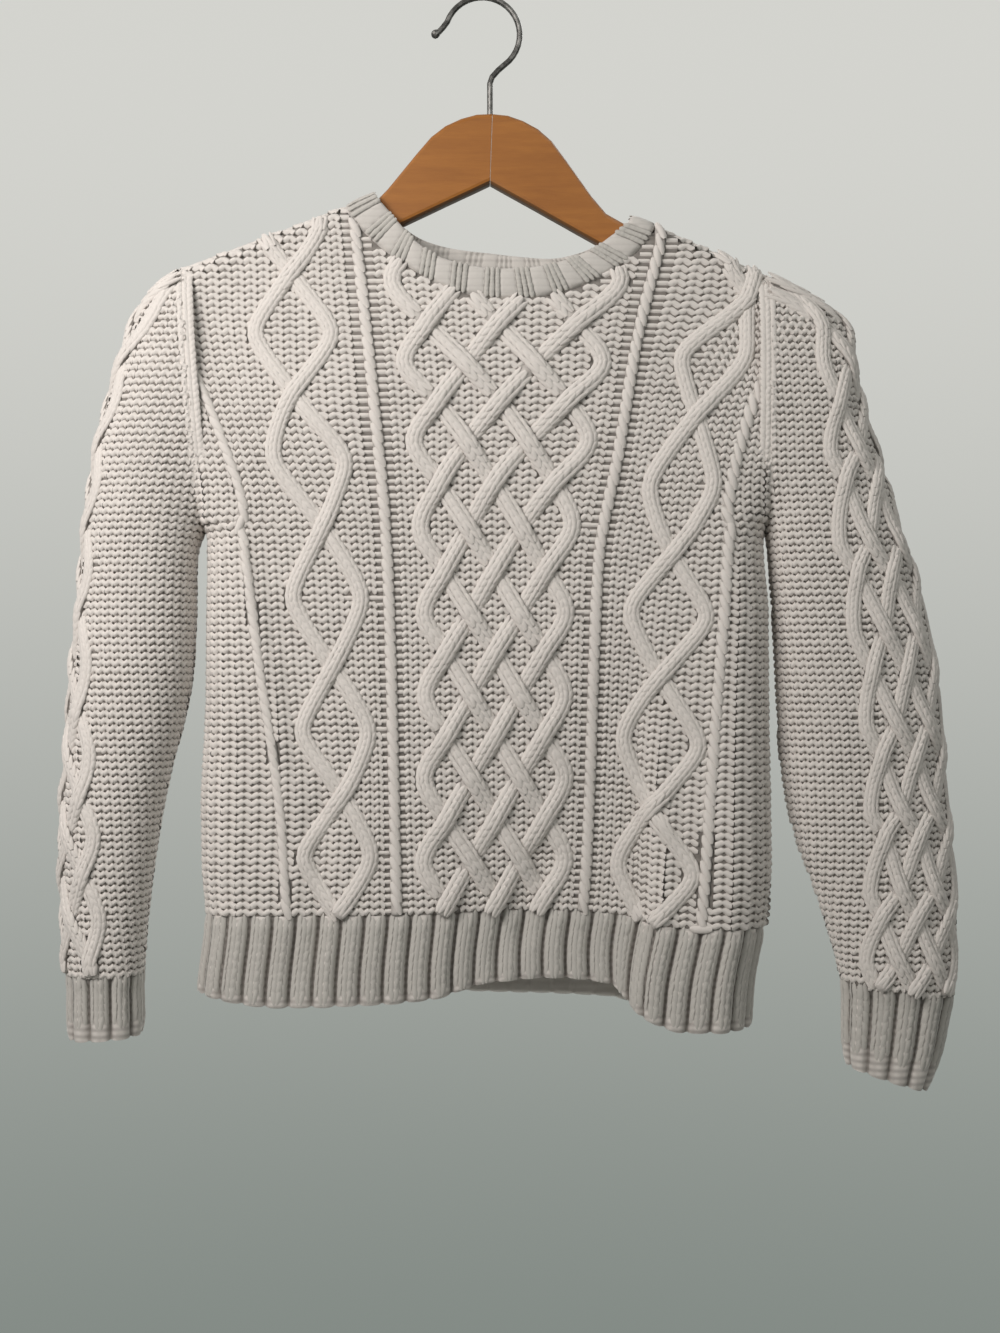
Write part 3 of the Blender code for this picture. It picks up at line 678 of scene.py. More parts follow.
class Tree:
    """A node tree that is written as sums."""

    def __init__(self, tree: bpy.types.NodeTree) -> None:
        self.tree = tree
        tree.nodes.clear()

    def node(self, kind: str, settings: dict | None = None, inputs: dict | None = None,
             out: str | int = 0) -> "Socket":
        """Adds a node and returns one of its outputs.

        Args:
            kind: the node's type.
            settings: its properties, such as a mode.
            inputs: values or sockets for its inputs, by name or by number.
            out: the output to return, by name or by number.

        Returns:
            That output, ready for sums.
        """
        made = self.tree.nodes.new(kind)
        for name, value in (settings or {}).items():
            setattr(made, name, value)
        for name, value in (inputs or {}).items():
            if isinstance(name, str):
                socket = [s for s in made.inputs if s.name == name and s.enabled][0]
            else:
                socket = made.inputs[name]
            self.plug(value, socket)
        outputs = [s for s in made.outputs if s.enabled]
        if isinstance(out, str):
            outputs = [s for s in outputs if s.name == out]
            out = 0
        return Socket(self, outputs[out] if outputs else None, made)

    def plug(self, value: Any, socket: bpy.types.NodeSocket) -> None:
        """Links a socket, or sets a constant.

        Args:
            value: a socket, several sockets for an input that takes many, or a constant.
            socket: the input.
        """
        if isinstance(value, Socket):
            self.tree.links.new(value.socket, socket)
        elif isinstance(value, list):
            for one in value:
                self.tree.links.new(one.socket, socket)
        else:
            socket.default_value = value

    def maths(self, operation: str, *values: Any) -> "Socket":
        """A Math node."""
        inputs = dict(enumerate(values))
        return self.node("ShaderNodeMath", {"operation": operation}, inputs)

    def combine(self, x: Any, y: Any, z: Any) -> "Socket":
        """A vector from three numbers."""
        return self.node("ShaderNodeCombineXYZ", None, {"X": x, "Y": y, "Z": z})

    def noise(self, place: "Socket", scale: float, detail: float = 2.0,
              distortion: float = 0.0) -> "Socket":
        """A Noise Texture's height."""
        return self.node("ShaderNodeTexNoise", None, {
            "Vector": place, "Scale": scale, "Detail": detail, "Distortion": distortion})

    def mix(self, factor: Any, low: Any, high: Any) -> "Socket":
        """A colour between two others.

        Args:
            factor: 0 for the first colour, 1 for the second.
            low: the first, as a socket or as red, green and blue.
            high: the second.

        Returns:
            The mixed colour.
        """
        ends = [end if isinstance(end, Socket) else (*end, 1.0) for end in (low, high)]
        inputs = {"Factor": factor, "A": ends[0], "B": ends[1]}
        return self.node("ShaderNodeMix", {"data_type": "RGBA"}, inputs, out="Result")

    def bump(self, strength: float, distance: float, height: "Socket") -> "Socket":
        """A normal from a height, with the distance in metres."""
        return self.node("ShaderNodeBump", None, {
            "Strength": strength, "Distance": distance, "Height": height})

    def surface(self, inputs: dict) -> None:
        """Ends a material with its shader."""
        shader = self.node("ShaderNodeBsdfPrincipled", None, inputs)
        self.node("ShaderNodeOutputMaterial", None, {"Surface": shader})


class Socket:
    """A socket that takes part in sums."""

    def __init__(self, tree: Tree, socket: Any, owner: Any = None) -> None:
        self.tree = tree
        self.socket = socket
        self.owner = owner

    def _do(self, operation: str, *values: Any) -> "Socket":
        """A Math node with this socket first."""
        return self.tree.maths(operation, self, *values)

    def __add__(self, other: Any) -> "Socket":
        """This plus another."""
        return self._do("ADD", other)

    def __sub__(self, other: Any) -> "Socket":
        """This less another."""
        return self._do("SUBTRACT", other)

    def __mul__(self, other: Any) -> "Socket":
        """This times another."""
        return self._do("MULTIPLY", other)

    def __pow__(self, other: Any) -> "Socket":
        """This to a power."""
        return self._do("POWER", other)

    def __rsub__(self, other: Any) -> "Socket":
        """A number less this."""
        return self.tree.maths("SUBTRACT", other, self)

    __radd__ = __add__
    __rmul__ = __mul__

    def sin(self) -> "Socket":
        """Sine, from radians."""
        return self._do("SINE")

    def cos(self) -> "Socket":
        """Cosine, from radians."""
        return self._do("COSINE")

    def absolute(self) -> "Socket":
        """Size without sign."""
        return self._do("ABSOLUTE")

    def clamp(self) -> "Socket":
        """Held between 0 and 1."""
        return self.tree.node("ShaderNodeClamp", None, {0: self})

    def soft(self, low: Any, high: Any) -> "Socket":
        """A soft step from 0 at low to 1 at high."""
        settings = {"interpolation_type": "SMOOTHSTEP"}
        return self.tree.node("ShaderNodeMapRange", settings, {0: self, 1: low, 2: high})

    def parts(self) -> tuple["Socket", "Socket", "Socket"]:
        """The x, y and z of a vector."""
        split = self.tree.node("ShaderNodeSeparateXYZ", None, {0: self})
        return tuple(Socket(self.tree, one) for one in split.owner.outputs)

    def scaled(self, x: float, y: float, z: float) -> "Socket":
        """This vector times another, number by number."""
        settings = {"operation": "MULTIPLY"}
        return self.tree.node("ShaderNodeVectorMath", settings, {0: self, 1: (x, y, z)})


@dataclass(frozen=True)
class Finish:
    """A finish made of nodes, which covers a piece all over."""

    name: str

    def make(self) -> bpy.types.Material:
        """Builds the finish.

        Returns:
            The procedural material.
        """
        material = bpy.data.materials.new(self.name)
        material.use_nodes = True
        tree = Tree(material.node_tree)
        self.cover(tree, tree.node("ShaderNodeTexCoord", out="Object"))
        return material

    def cover(self, tree: Tree, place: Socket) -> None:
        """Adds the finish's own nodes, up to its shader.

        Args:
            tree: the material's tree.
            place: the point on the object, in metres.
        """
        raise NotImplementedError


@dataclass(frozen=True)
class YarnFinish(Finish):
    """Soft spun yarn: off-white, matt, with a nap of fine fibres and painted shade in its
    hollows.
    """

    light: tuple[float, float, float] = (0.70, 0.645, 0.600)
    # deep is the painted shade colour of the hollows and of the yarn's edges.
    deep: tuple[float, float, float] = (0.075, 0.062, 0.050)
    fibre: float = 2600.0
    nap: float = 0.35
    flecks: float = 0.10
    row_grain_and_shade: bool = False

    def cover(self, tree: Tree, place: Socket) -> None:
        """Painted light on the crowns, painted shade in the hollows, and a bump of fibres.

        Args:
            tree: the material's tree.
            place: the point on the object, in metres.
        """
        broad = tree.noise(place, 28.0, 3.0)
        fine = tree.noise(place, self.fibre)
        fleck = tree.noise(place, 420.0)
        # The crown attribute sets the painted shade: low crowns take the deep colour, high ones
        # the light colour.
        crown = tree.node("ShaderNodeAttribute", {"attribute_name": "crown"}, out="Fac")
        height = fine + fleck * 0.8
        if self.row_grain_and_shade:
            # Painted shade in the grooves between courses and stitches, with a bump of the same
            # rows.
            x, _, z = place.parts()
            rows = (z * (2.0 * math.pi / (COURSE * MM))).sin() * 0.5 + 0.5
            columns = (x * (2.0 * math.pi / (STITCH * MM))).sin() * 0.5 + 0.5
            crown = crown * (0.55 + 0.45 * rows * (0.55 + 0.45 * columns))
            height = height * 0.3 + crown * 2.0
        painted_lit = crown.soft(-0.12, 0.55)
        tone = painted_lit * (0.90 + 0.2 * broad) + (fleck - 0.5) * self.flecks
        tree.surface({
            "Base Color": tree.mix(tone.clamp(), self.deep, self.light),
            "Roughness": 0.92, "Normal": tree.bump(self.nap, 0.0005, height),
            "Specular IOR Level": 0.2, "Sheen Weight": 0.25, "Sheen Roughness": 0.5})


@dataclass(frozen=True)
class WoodFinish(Finish):
    """Honey brown varnished wood with fine grain along the arm, darker edges and painted shade on
    its underside.
    """

    light: tuple[float, float, float] = (0.43, 0.165, 0.027)
    dark: tuple[float, float, float] = (0.23, 0.075, 0.011)
    # underside is the painted shade colour of the faces that look down.
    underside_shade: tuple[float, float, float] = (0.09, 0.055, 0.03)

    def cover(self, tree: Tree, place: Socket) -> None:
        """Grain drawn out along the arm, with pores, patches, a thin varnish and painted shade
        where the faces look down.

        Args:
            tree: the material's tree.
            place: the point on the object, in metres.
        """
        grain = tree.noise(place.scaled(14.0, 190.0, 190.0), 1.0, 4.0, 0.6)
        pores = tree.noise(place.scaled(120.0, 1500.0, 1500.0), 1.0)
        patch = tree.noise(place, 16.0)
        _, facing, rising = tree.node("ShaderNodeNewGeometry", out="Normal").parts()
        # Painted shade on the faces that look down.
        under = (rising * -1.0).soft(0.2, 0.8)
        edge = facing.absolute().soft(0.35, 0.95)
        tone = (grain * 0.9 + pores * 0.35 - 0.25 + patch * 0.25) * (0.45 + 0.55 * edge)
        wood = tree.mix(tone.clamp(), self.dark, self.light)
        tree.surface({
            "Base Color": tree.mix(under * 0.75, wood, self.underside_shade),
            "Roughness": 0.45, "Normal": tree.bump(0.12, 0.0003, grain + pores),
            "Coat Weight": 0.1, "Coat Roughness": 0.25})


@dataclass(frozen=True)
class SteelFinish(Finish):
    """Dull dark steel wire, a little mottled with age."""

    bright: tuple[float, float, float] = (0.26, 0.25, 0.235)
    dull: tuple[float, float, float] = (0.10, 0.096, 0.09)

    def cover(self, tree: Tree, place: Socket) -> None:
        """Mottled patches with fine drawn marks.

        Args:
            tree: the material's tree.
            place: the point on the object, in metres.
        """
        mottle = tree.noise(place, 260.0, 4.0)
        brush = tree.noise(place, 2400.0, 1.0)
        tree.surface({
            "Base Color": tree.mix(mottle.soft(0.3, 0.75), self.dull, self.bright),
            "Metallic": 0.9, "Normal": tree.bump(0.15, 0.0002, brush + mottle),
            "Roughness": mottle * 0.3 + 0.25})


def stitch_tree(name: str) -> bpy.types.NodeTree:
    """The Geometry Nodes that set one small piece of yarn on every waiting point.

    The points carry along, up, size and shape. Each small form is a grid bent to half a tube:
    a purl wave, a straight bar or a knit leg.

    Args:
        name: what to call the tree.

    Returns:
        The tree, with its sizes as named inputs.
    """
    group = bpy.data.node_groups.new(name, "GeometryNodeTree")
    face = group.interface
    face.new_socket("Geometry", in_out="INPUT", socket_type="NodeSocketGeometry")
    for label, kind, default in (
        ("Steps Along", "NodeSocketInt", 7),
        ("Leg Steps", "NodeSocketInt", 5),
        ("Bar Steps", "NodeSocketInt", 3),
        ("Steps Round", "NodeSocketInt", 4),
        ("Wave", "NodeSocketFloat", 0.25),
        ("Thickness", "NodeSocketFloat", 0.77),
        ("Close Thickness", "NodeSocketFloat", 0.92),
        ("Bar Thickness", "NodeSocketFloat", 0.70),
        ("Unevenness", "NodeSocketFloat", 0.12),
        ("Seed", "NodeSocketInt", 7),
    ):
        socket = face.new_socket(label, in_out="INPUT", socket_type=kind)
        socket.default_value = default
    face.new_socket("Material", in_out="INPUT", socket_type="NodeSocketMaterial")
    face.new_socket("Geometry", in_out="OUTPUT", socket_type="NodeSocketGeometry")
    tree = Tree(group)
    source = tree.tree.nodes.new("NodeGroupInput")
    given = {one.name: Socket(tree, one) for one in source.outputs if one.name}

    def yarn(shape: Shape) -> Socket:
        """One small form as an instance.

        Args:
            shape: which form.

        Returns:
            The instance, with how far each point stands out of the hollows as crown, which sets
            its painted shade.
        """
        steps = given[{Shape.LEG: "Leg Steps", Shape.BAR: "Bar Steps"}.get(shape, "Steps Along")]
        grid = tree.node("GeometryNodeMeshGrid", None,
                         {"Size X": 1.0, "Size Y": 1.0, "Vertices X": steps,
                          "Vertices Y": given["Steps Round"]})
        x, y, _ = tree.node("GeometryNodeInputPosition").parts()
        turn = y * math.pi
        if shape in (Shape.PURL, Shape.CLOSE_PURL):
            close = shape is Shape.CLOSE_PURL
            swell = 0.14 if close else 0.34
            flank = (x * (2.0 * math.pi)).sin() ** 2.0
            thick = given["Close Thickness" if close else "Thickness"]
            across = (x * (2.0 * math.pi)).cos() * given["Wave"]
            across = across + turn.sin() * thick * (0.5 + swell * flank)
            crown = turn.cos() * (1.0 - 0.25 * flank)
            painted_light_level = crown + flank * 0.5
        elif shape is Shape.BAR:
            across = turn.sin() * given["Bar Thickness"] * 0.5
            crown = turn.cos() * (1.0 - ((x * 2.0).absolute() ** 4.0) * 0.35)
            painted_light_level = crown
        else:
            taper = (1.0 - ((x * 2.0).absolute() ** 2.5) * 0.86) ** 0.5
            across = turn.sin() * taper * 0.5
            crown = turn.cos() * taper
            painted_light_level = turn.cos() * 0.8 + 0.12
        bent = tree.node("GeometryNodeSetPosition", None,
                         {"Geometry": grid, "Position": tree.combine(x, across, crown)})
        # The stored crown is painted shade: darker at the yarn's edges and in the hollows.
        marked = tree.node("GeometryNodeStoreNamedAttribute",
                           {"data_type": "FLOAT", "domain": "POINT"},
                           {"Geometry": bent, "Name": "crown", "Value": painted_light_level})
        return tree.node("GeometryNodeGeometryToInstance", None, {"Geometry": marked})

    forms = tree.node("GeometryNodeJoinGeometry", None,
                      {"Geometry": [yarn(shape) for shape in reversed(Shape)]})

    def carried(label: str, kind: str) -> Socket:
        """An attribute that the points carry."""
        return tree.node("GeometryNodeInputNamedAttribute", {"data_type": kind}, {"Name": label})

    rotation = tree.node("FunctionNodeAxesToRotation",
                         {"primary_axis": "Z", "secondary_axis": "X"},
                         {0: carried("up", "FLOAT_VECTOR"), 1: carried("along", "FLOAT_VECTOR")})
    size = carried("size", "FLOAT_VECTOR")
    low = 1.0 - given["Unevenness"]
    high = 1.0 + given["Unevenness"]
    jitter = tree.node("FunctionNodeRandomValue", {"data_type": "FLOAT_VECTOR"},
                       {"Min": tree.combine(1.0, low, low), "Max": tree.combine(1.0, high, high),
                        "Seed": given["Seed"]})
    scale = tree.node("ShaderNodeVectorMath", {"operation": "MULTIPLY"}, {0: size, 1: jitter})
    placed = tree.node("GeometryNodeInstanceOnPoints", None, {
        "Points": given["Geometry"], "Instance": forms, "Pick Instance": True,
        "Instance Index": carried("shape", "INT"), "Rotation": rotation, "Scale": scale})
    solid = tree.node("GeometryNodeRealizeInstances", None, {"Geometry": placed})
    smooth = tree.node("GeometryNodeSetShadeSmooth", None, {"Geometry": solid})
    dressed = tree.node("GeometryNodeSetMaterial", None,
                        {"Geometry": smooth, "Material": given["Material"]})
    tree.node("NodeGroupOutput", None, {"Geometry": dressed})
    return group


def new_object(name: str, data: bpy.types.ID) -> bpy.types.Object:
    """An object in the scene, at the origin."""
    made = bpy.data.objects.new(name, data)
    bpy.context.scene.collection.objects.link(made)
    return made


def new_mesh_object(name: str, points: np.ndarray, faces: list) -> bpy.types.Object:
    """An object at the origin, from a plain mesh.

    Args:
        name: the object's name.
        points: its points, in millimetres.
        faces: for each face, the numbers of its corners.

    Returns:
        The object.
    """
    mesh = bpy.data.meshes.new(name)
    mesh.from_pydata((points * MM).tolist(), [], faces)
    mesh.update()
    return new_object(name, mesh)


def cover_mesh(made: bpy.types.Object, crown: np.ndarray, material: bpy.types.Material) -> None:
    """Gives a piece its finish, shaded smooth.

    Args:
        made: the piece.
        crown: how far each point stands out of the hollows, from 0 to 1, which sets its painted
            shade.
        material: the finish.
    """
    layer = made.data.attributes.new("crown", "FLOAT", "POINT")
    layer.data.foreach_set("value", np.ascontiguousarray(crown).ravel())
    made.data.materials.append(material)
    made.data.shade_smooth()


def knit(name: str, yarns: Yarns, tree: bpy.types.NodeTree,
         material: bpy.types.Material) -> bpy.types.Object:
    """Sets the waiting stitches on a piece and turns them into a plain mesh.

    Args:
        name: the piece's name.
        yarns: the stitches.
        tree: the stitch tree.
        material: the yarn's finish.

    Returns:
        The finished object, at the origin.
    """
    holder = new_mesh_object(name + "_points", np.concatenate(yarns.points), [])
    for label, values, kind, key in (
        ("along", yarns.along, "FLOAT_VECTOR", "vector"),
        ("up", yarns.up, "FLOAT_VECTOR", "vector"),
        ("size", yarns.size, "FLOAT_VECTOR", "vector"),
        ("shape", yarns.shape, "INT", "value"),
    ):
        layer = holder.data.attributes.new(label, kind, "POINT")
        data = np.concatenate(values)
        if label == "size":
            data = data * MM
        layer.data.foreach_set(key, np.ascontiguousarray(data).ravel())
    modifier = holder.modifiers.new("stitches", "NODES")
    modifier.node_group = tree
    for item in tree.interface.items_tree:
        if item.item_type == "SOCKET" and item.in_out == "INPUT" and item.name == "Material":
            modifier[item.identifier] = material
    graph = bpy.context.evaluated_depsgraph_get()
    solid = bpy.data.meshes.new_from_object(holder.evaluated_get(graph))
    holder.modifiers.remove(modifier)
    bpy.data.objects.remove(holder)
    solid.name = name
    LOG.info("%s: %d stitches, %d triangles", name, yarns.count(), 2 * len(solid.polygons))
    return new_object(name, solid)


def wall(name: str, outer: np.ndarray, inner: np.ndarray, closed: bool,
         material: bpy.types.Material, outer_painted_light: Any = 0.12,
         inner_painted_light: Any = 0.7) -> bpy.types.Object:
    """A thin wall of cloth between two grids of points, closed by a rim along each open edge.

    Args:
        name: the piece's name.
        outer: the outer face's points, rows down and columns to the right, in millimetres.
        inner: the inner face's points.
        closed: whether the columns run round and meet.
        material: the finish.
        outer_painted_light: how far the outer face's points stand out of the hollows, from 0 to
            1, which sets their painted shade; the low default paints the outer face dark, as
            painted shade in the gaps between the stitches.
        inner_painted_light: the same for the inner face.

    Returns:
        The finished object.
    """
    rows, columns = outer.shape[:2]
    index = np.arange(rows * columns).reshape(rows, columns)
    if closed:
        index = joined_round(index)
    a, b = index[:-1, :-1], index[1:, :-1]
    c, d = index[1:, 1:], index[:-1, 1:]
    face = np.stack([a, b, c, d], axis=-1).reshape(-1, 4)
    shift = rows * columns
    back = face[:, ::-1] + shift
    rims = []
    for row, flip in ((index[0], False), (index[-1], True)):
        rim = np.stack([row[:-1], row[1:], row[1:] + shift, row[:-1] + shift], axis=-1)
        rims.append(rim[:, ::-1] if flip else rim)
    if not closed:
        for column, flip in ((index[:, 0], True), (index[:, -1], False)):
            rim = np.stack([column[:-1], column[1:], column[1:] + shift, column[:-1] + shift],
                           axis=-1)
            rims.append(rim[:, ::-1] if flip else rim)
    points = np.concatenate([outer.reshape(-1, 3), inner.reshape(-1, 3)])
    made = new_mesh_object(name, points, np.concatenate([face, back, *rims]).tolist())
    crown = np.stack([np.broadcast_to(outer_painted_light, (rows, columns)),
                      np.broadcast_to(inner_painted_light, (rows, columns))])
    cover_mesh(made, crown, material)
    made.data.set_sharp_from_angle(angle=math.radians(60.0))
    LOG.info("%s: %d triangles", name, 2 * len(made.data.polygons))
    return made


@dataclass
class StrandRun:
    """One raised strand of a cable: where it runs and how wide and high it stands.

    Attributes:
        stitch: its middle, in stitches, at each step.
        course: its courses.
        lift: its height over the ground at each step, in millimetres.
        width: its width, in millimetres.
        height: its thickness, in millimetres.
        wales: how many columns of knit stitches it carries.
    """

    stitch: np.ndarray
    course: np.ndarray
    lift: np.ndarray
    width: float
    height: float
    wales: int

    def at(self, course: np.ndarray) -> tuple[np.ndarray, np.ndarray]:
        """Places in stitches, and lifts, at given courses."""
        return (np.interp(course, self.course, self.stitch),
                np.interp(course, self.course, self.lift))


def strand_tubes(name: str, cloth: KnitMap, runs: list[StrandRun],
                 material: bpy.types.Material) -> bpy.types.Object:
    """The round bodies of the strands, under their stitches.

    Args:
        name: the piece's name.
        cloth: the cloth that they stand on.
        runs: the strands.
        material: the yarn's finish.

    Returns:
        One object with a closed tube for each strand.
    """
    all_points = []
    all_faces = []
    painted_light_levels = []
    start = 0
    angle = np.arange(TUBE_SIDES) * 2.0 * math.pi / TUBE_SIDES
    # Painted shade: a strand's upper side is lighter than its lower sides, and its end caps are
    # dark.
    crown = 0.12 + 0.26 * np.clip(np.sin(angle), 0.0, 1.0)
    for run in runs:
        middle = cloth.place(run.stitch, run.course, run.lift)
        up = cloth.normal(run.stitch, run.course)
        along = unit(np.gradient(middle, axis=0))
        side = unit(np.cross(up, along))
        up = np.cross(along, side)
        across = np.cos(angle)[None, :, None] * side[:, None, :] * run.width / 2.0
        rise = (np.sin(angle) * STRAND_OVAL)[None, :, None] * up[:, None, :] * run.height
        points = middle[:, None, :] + across + rise
        ends = points[[0, -1]].mean(axis=1)
        count = len(run.stitch)
        index = start + np.arange(count * TUBE_SIDES).reshape(count, TUBE_SIDES)
        follow = np.roll(index, -1, axis=1)
        sides = np.stack([index[:-1], follow[:-1], follow[1:], index[1:]], axis=-1)
        all_faces += sides.reshape(-1, 4).tolist()
        cap = start + count * TUBE_SIDES
        for j in range(TUBE_SIDES):
            all_faces.append([int(index[0, j]), cap, int(follow[0, j])])
            all_faces.append([int(index[-1, j]), int(follow[-1, j]), cap + 1])
        all_points += [points.reshape(-1, 3), ends]
        painted_light_levels += [np.tile(crown, count), [0.1, 0.1]]
        start = cap + 2
    made = new_mesh_object(name, np.concatenate(all_points), all_faces)
    cover_mesh(made, np.concatenate(painted_light_levels), material)
    LOG.info("%s: %d strands, %d faces", name, len(runs), len(all_faces))
    return made


def strand_legs(cloth: KnitMap, runs: list[StrandRun], yarns: Yarns, sunk: float = -0.9) -> None:
    """Adds the V shaped knit stitches along each strand.

    Args:
        cloth: the cloth under the strands.
        runs: the strands.
        yarns: where the stitches are collected.
        sunk: strands lower than this carry no stitches, because another lies over them.
    """
    half_step = 0.3
    for run in runs:
        course = np.arange(run.course[0] + 0.5, run.course[-1], 1.0)
        stitch, lift = run.at(course)
        after, _ = run.at(course + half_step)
        before, _ = run.at(course - half_step)
        middle = cloth.place(stitch, course, lift)
        up = cloth.normal(stitch, course)
        ahead = cloth.place(after, course + half_step, lift)
        behind = cloth.place(before, course - half_step, lift)
        along = unit(ahead - behind)
        side = unit(np.cross(along, up))
        seen = lift > sunk
        step = cloth.place(after, course + half_step) - cloth.place(before, course - half_step)
        length = np.linalg.norm(step, axis=-1) / (2.0 * half_step)
        slots = 2 * run.wales
        leg_width = run.width / slots
        one = np.ones(len(course))
        sizes = np.column_stack([length * LEG_OVERLAP, one * leg_width * LEG_SPREAD,
                                 one * LEG_HEIGHT])
        for slot in range(slots):
            offset = (slot + 0.5 - slots / 2.0) * leg_width
            reach = offset / (run.width / 2.0)
            rise = run.height * STRAND_OVAL * math.sqrt(max(1.0 - reach * reach, 0.05))
            leg_up = unit(turned(up, side, LEG_TIP * reach))
            leg_along = turned(along, side, LEG_LEAN if slot % 2 == 0 else -LEG_LEAN)
            points = middle + side * offset * LEG_DRAW_IN + up * (rise - LEG_SINK)
            yarns.add(points[seen], leg_along[seen], leg_up[seen], sizes[seen], Shape.LEG)


def course_at(z: float) -> float:
    """The body's course at a height of the layout in millimetres, for a level hem."""
    on_cloth = LAYOUT_MIDDLE[0] + (z - LAYOUT_MIDDLE[0]) * LAYOUT_SCALE
    return (ROW_TOP - on_cloth) / COURSE


@dataclass
class Lattice:
    """Six strands that cross in pairs: three crossings, then two, then three.

    Attributes:
        centre: the lattice's middle, in stitches.
        triple: courses where three pairs cross, the strand that falls to the left on top.
        double: courses where two pairs cross, the strand that falls to the right on top.
        spacing: courses, and the stitches from one track to the next there.
        bulge: how far the outermost strands swing out, in tracks from the middle.
        start: the first course.
        end: the last course.
        width: a strand's width, in millimetres.
        height: a strand's thickness, in millimetres.
        wales: columns of knit stitches on a strand.
        over: how far a strand rises where it lies on top, in millimetres.
        under: the same for the strand below, which sinks.
    """

    centre: float
    triple: tuple[float, ...]
    double: tuple[float, ...]
    spacing: tuple[tuple[float, float], ...]
    start: float
    end: float
    width: float
    height: float
    wales: int = 2
    over: float = 2.4
    under: float = -1.3
    bulge: float = 2.85

    def runs(self) -> list[StrandRun]:
        """Follows the strands down from crossing to crossing.

        Returns:
            The six strands.
        """
        centre_track = 2.5
        hump = 2.1
        events = sorted([(c, False) for c in self.triple] + [(c, True) for c in self.double])
        order = list(range(6))
        knots = [[] for _ in order]
        for crossing, is_double in events:
            pairs = ((1, 2), (3, 4)) if is_double else ((0, 1), (2, 3), (4, 5))
            lift_left = self.over if is_double else self.under
            lift_right = self.under if is_double else self.over
            for low, high in pairs:
                left, right = order[low], order[high]
                middle = (low + high) / 2.0
                knots[left].append((crossing, middle, lift_left))
                knots[right].append((crossing, middle, lift_right))
                order[low], order[high] = right, left
            if is_double:
                knots[order[0]].append((crossing, centre_track - self.bulge, 0.0))
                knots[order[5]].append((crossing, centre_track + self.bulge, 0.0))
        course = every(GRID_COURSE, self.start, self.end)
        spacing = np.array(self.spacing)
        apart = smooth_interp(course, spacing[:, 0], spacing[:, 1])
        made = []
        for rows in map(sorted, knots):
            at = np.array([row[0] for row in rows])
            track = np.array([row[1] for row in rows])
            stitch = self.centre + (smooth_interp(course, at, track) - centre_track) * apart
            lift = np.zeros(len(course))
            for crossing, _, height in rows:
                lift += height * np.exp(-((course - crossing) / hump) ** 2)
            made.append(StrandRun(stitch, course, lift, self.width, self.height, self.wales))
        return made


@dataclass
class Diamond:
    """Two strands that meet, cross and part again.

    Attributes:
        centre: its middle, in stitches.
        crossings: the courses where the strands cross.
        reach: how far each strand swings out, in stitches.
        start: the first course.
        end: the last course.
        width: a strand's width, in millimetres.
        height: a strand's thickness, in millimetres.
        over: how far the upper strand rises at a crossing, in millimetres.
        under: how far the lower one sinks, as a share of that.
        roundness: nearly 1 for straight runs with tight turns, less for a soft wave.
    """

    centre: float
    crossings: tuple[float, ...]
    reach: float
    start: float
    end: float
    width: float
    height: float
    over: float = 1.6
    under: float = 0.6
    roundness: float = 0.93

    def runs(self) -> list[StrandRun]:
        """Swings the strands from crossing to crossing.

        Returns:
            The two strands.
        """
        course = every(GRID_COURSE, self.start, self.end)
        at = np.array(self.crossings)
        turn = np.interp(course, at, np.arange(len(at)) * math.pi)
        first = at[1] - at[0]
        last = at[-1] - at[-2]
        turn = np.where(course < at[0], (course - at[0]) / first * math.pi, turn)
        after = (len(at) - 1) * math.pi + (course - at[-1]) / last * math.pi
        turn = np.where(course > at[-1], after, turn)
        swing = np.arcsin(self.roundness * np.sin(turn)) / math.asin(self.roundness) * self.reach
        falling_left = np.cos(turn) < 0
        near = np.exp(-(np.sin(turn) / 0.35) ** 2)
        sunk = -self.over * self.under
        lift = np.where(falling_left, self.over, sunk) * near
        other = np.where(falling_left, sunk, self.over) * near
        return [
            StrandRun(self.centre + swing, course, lift, self.width, self.height, 2),
            StrandRun(self.centre - swing, course, other, self.width, self.height, 2),
        ]


@dataclass
class Rope:
    """A narrow twist of two stitches."""

    places: tuple[tuple[float, float], ...]
    width: float = 7.4
    height: float = 3.9

    def runs(self) -> list[StrandRun]:
        """Joins the rope's places up.

        Returns:
            The rope as one run.
        """
        courses = [row[0] for row in self.places]
        course = every(GRID_COURSE, courses[0], courses[-1])
        stitch = np.interp(course, courses, [row[1] for row in self.places])
        return [StrandRun(stitch, course, np.zeros(len(course)), self.width, self.height, 1)]


def inside_runs(cloth: KnitMap, runs: list[StrandRun]) -> list[StrandRun]:
    """Strands cut off where they leave the cloth's outline.

    Args:
        cloth: the cloth under the strands.
        runs: the strands.

    Returns:
        The stretches that lie on the cloth, without the very short ones.
    """
    shortest = 5
    kept = []
    for run in runs:
        seen = cloth.covers(run.stitch, run.course)
        edges = np.flatnonzero(np.diff(np.concatenate([[0], seen.astype(int), [0]])))
        for start, stop in zip(edges[::2], edges[1::2]):
            if stop - start >= shortest:
                cut = slice(start, stop)
                kept.append(StrandRun(run.stitch[cut], run.course[cut], run.lift[cut],
                                      run.width, run.height, run.wales))
    return kept


def rope_legs(cloth: KnitMap, runs: list[StrandRun], yarns: Yarns) -> None:
    """Adds the slanted stitches of a narrow twist.

    Args:
        cloth: the cloth under the ropes.
        runs: the ropes.
        yarns: where the stitches are collected.
    """
    for run in runs:
        course = np.arange(run.course[0] + 0.5, run.course[-1], ROPE_STEP)
        stitch, lift = run.at(course)
        middle = cloth.place(stitch, course, lift + run.height * 0.40)
        up = cloth.normal(stitch, course)
        down = cloth.heading(stitch, course, np.zeros(len(course)), np.ones(len(course)))
        along = turned(down, unit(np.cross(down, up)), ROPE_LEAN)
        size = np.array([COURSE * 3.1, run.width * 0.76, 1.8])
        yarns.add(middle, along, up, size, Shape.LEG)


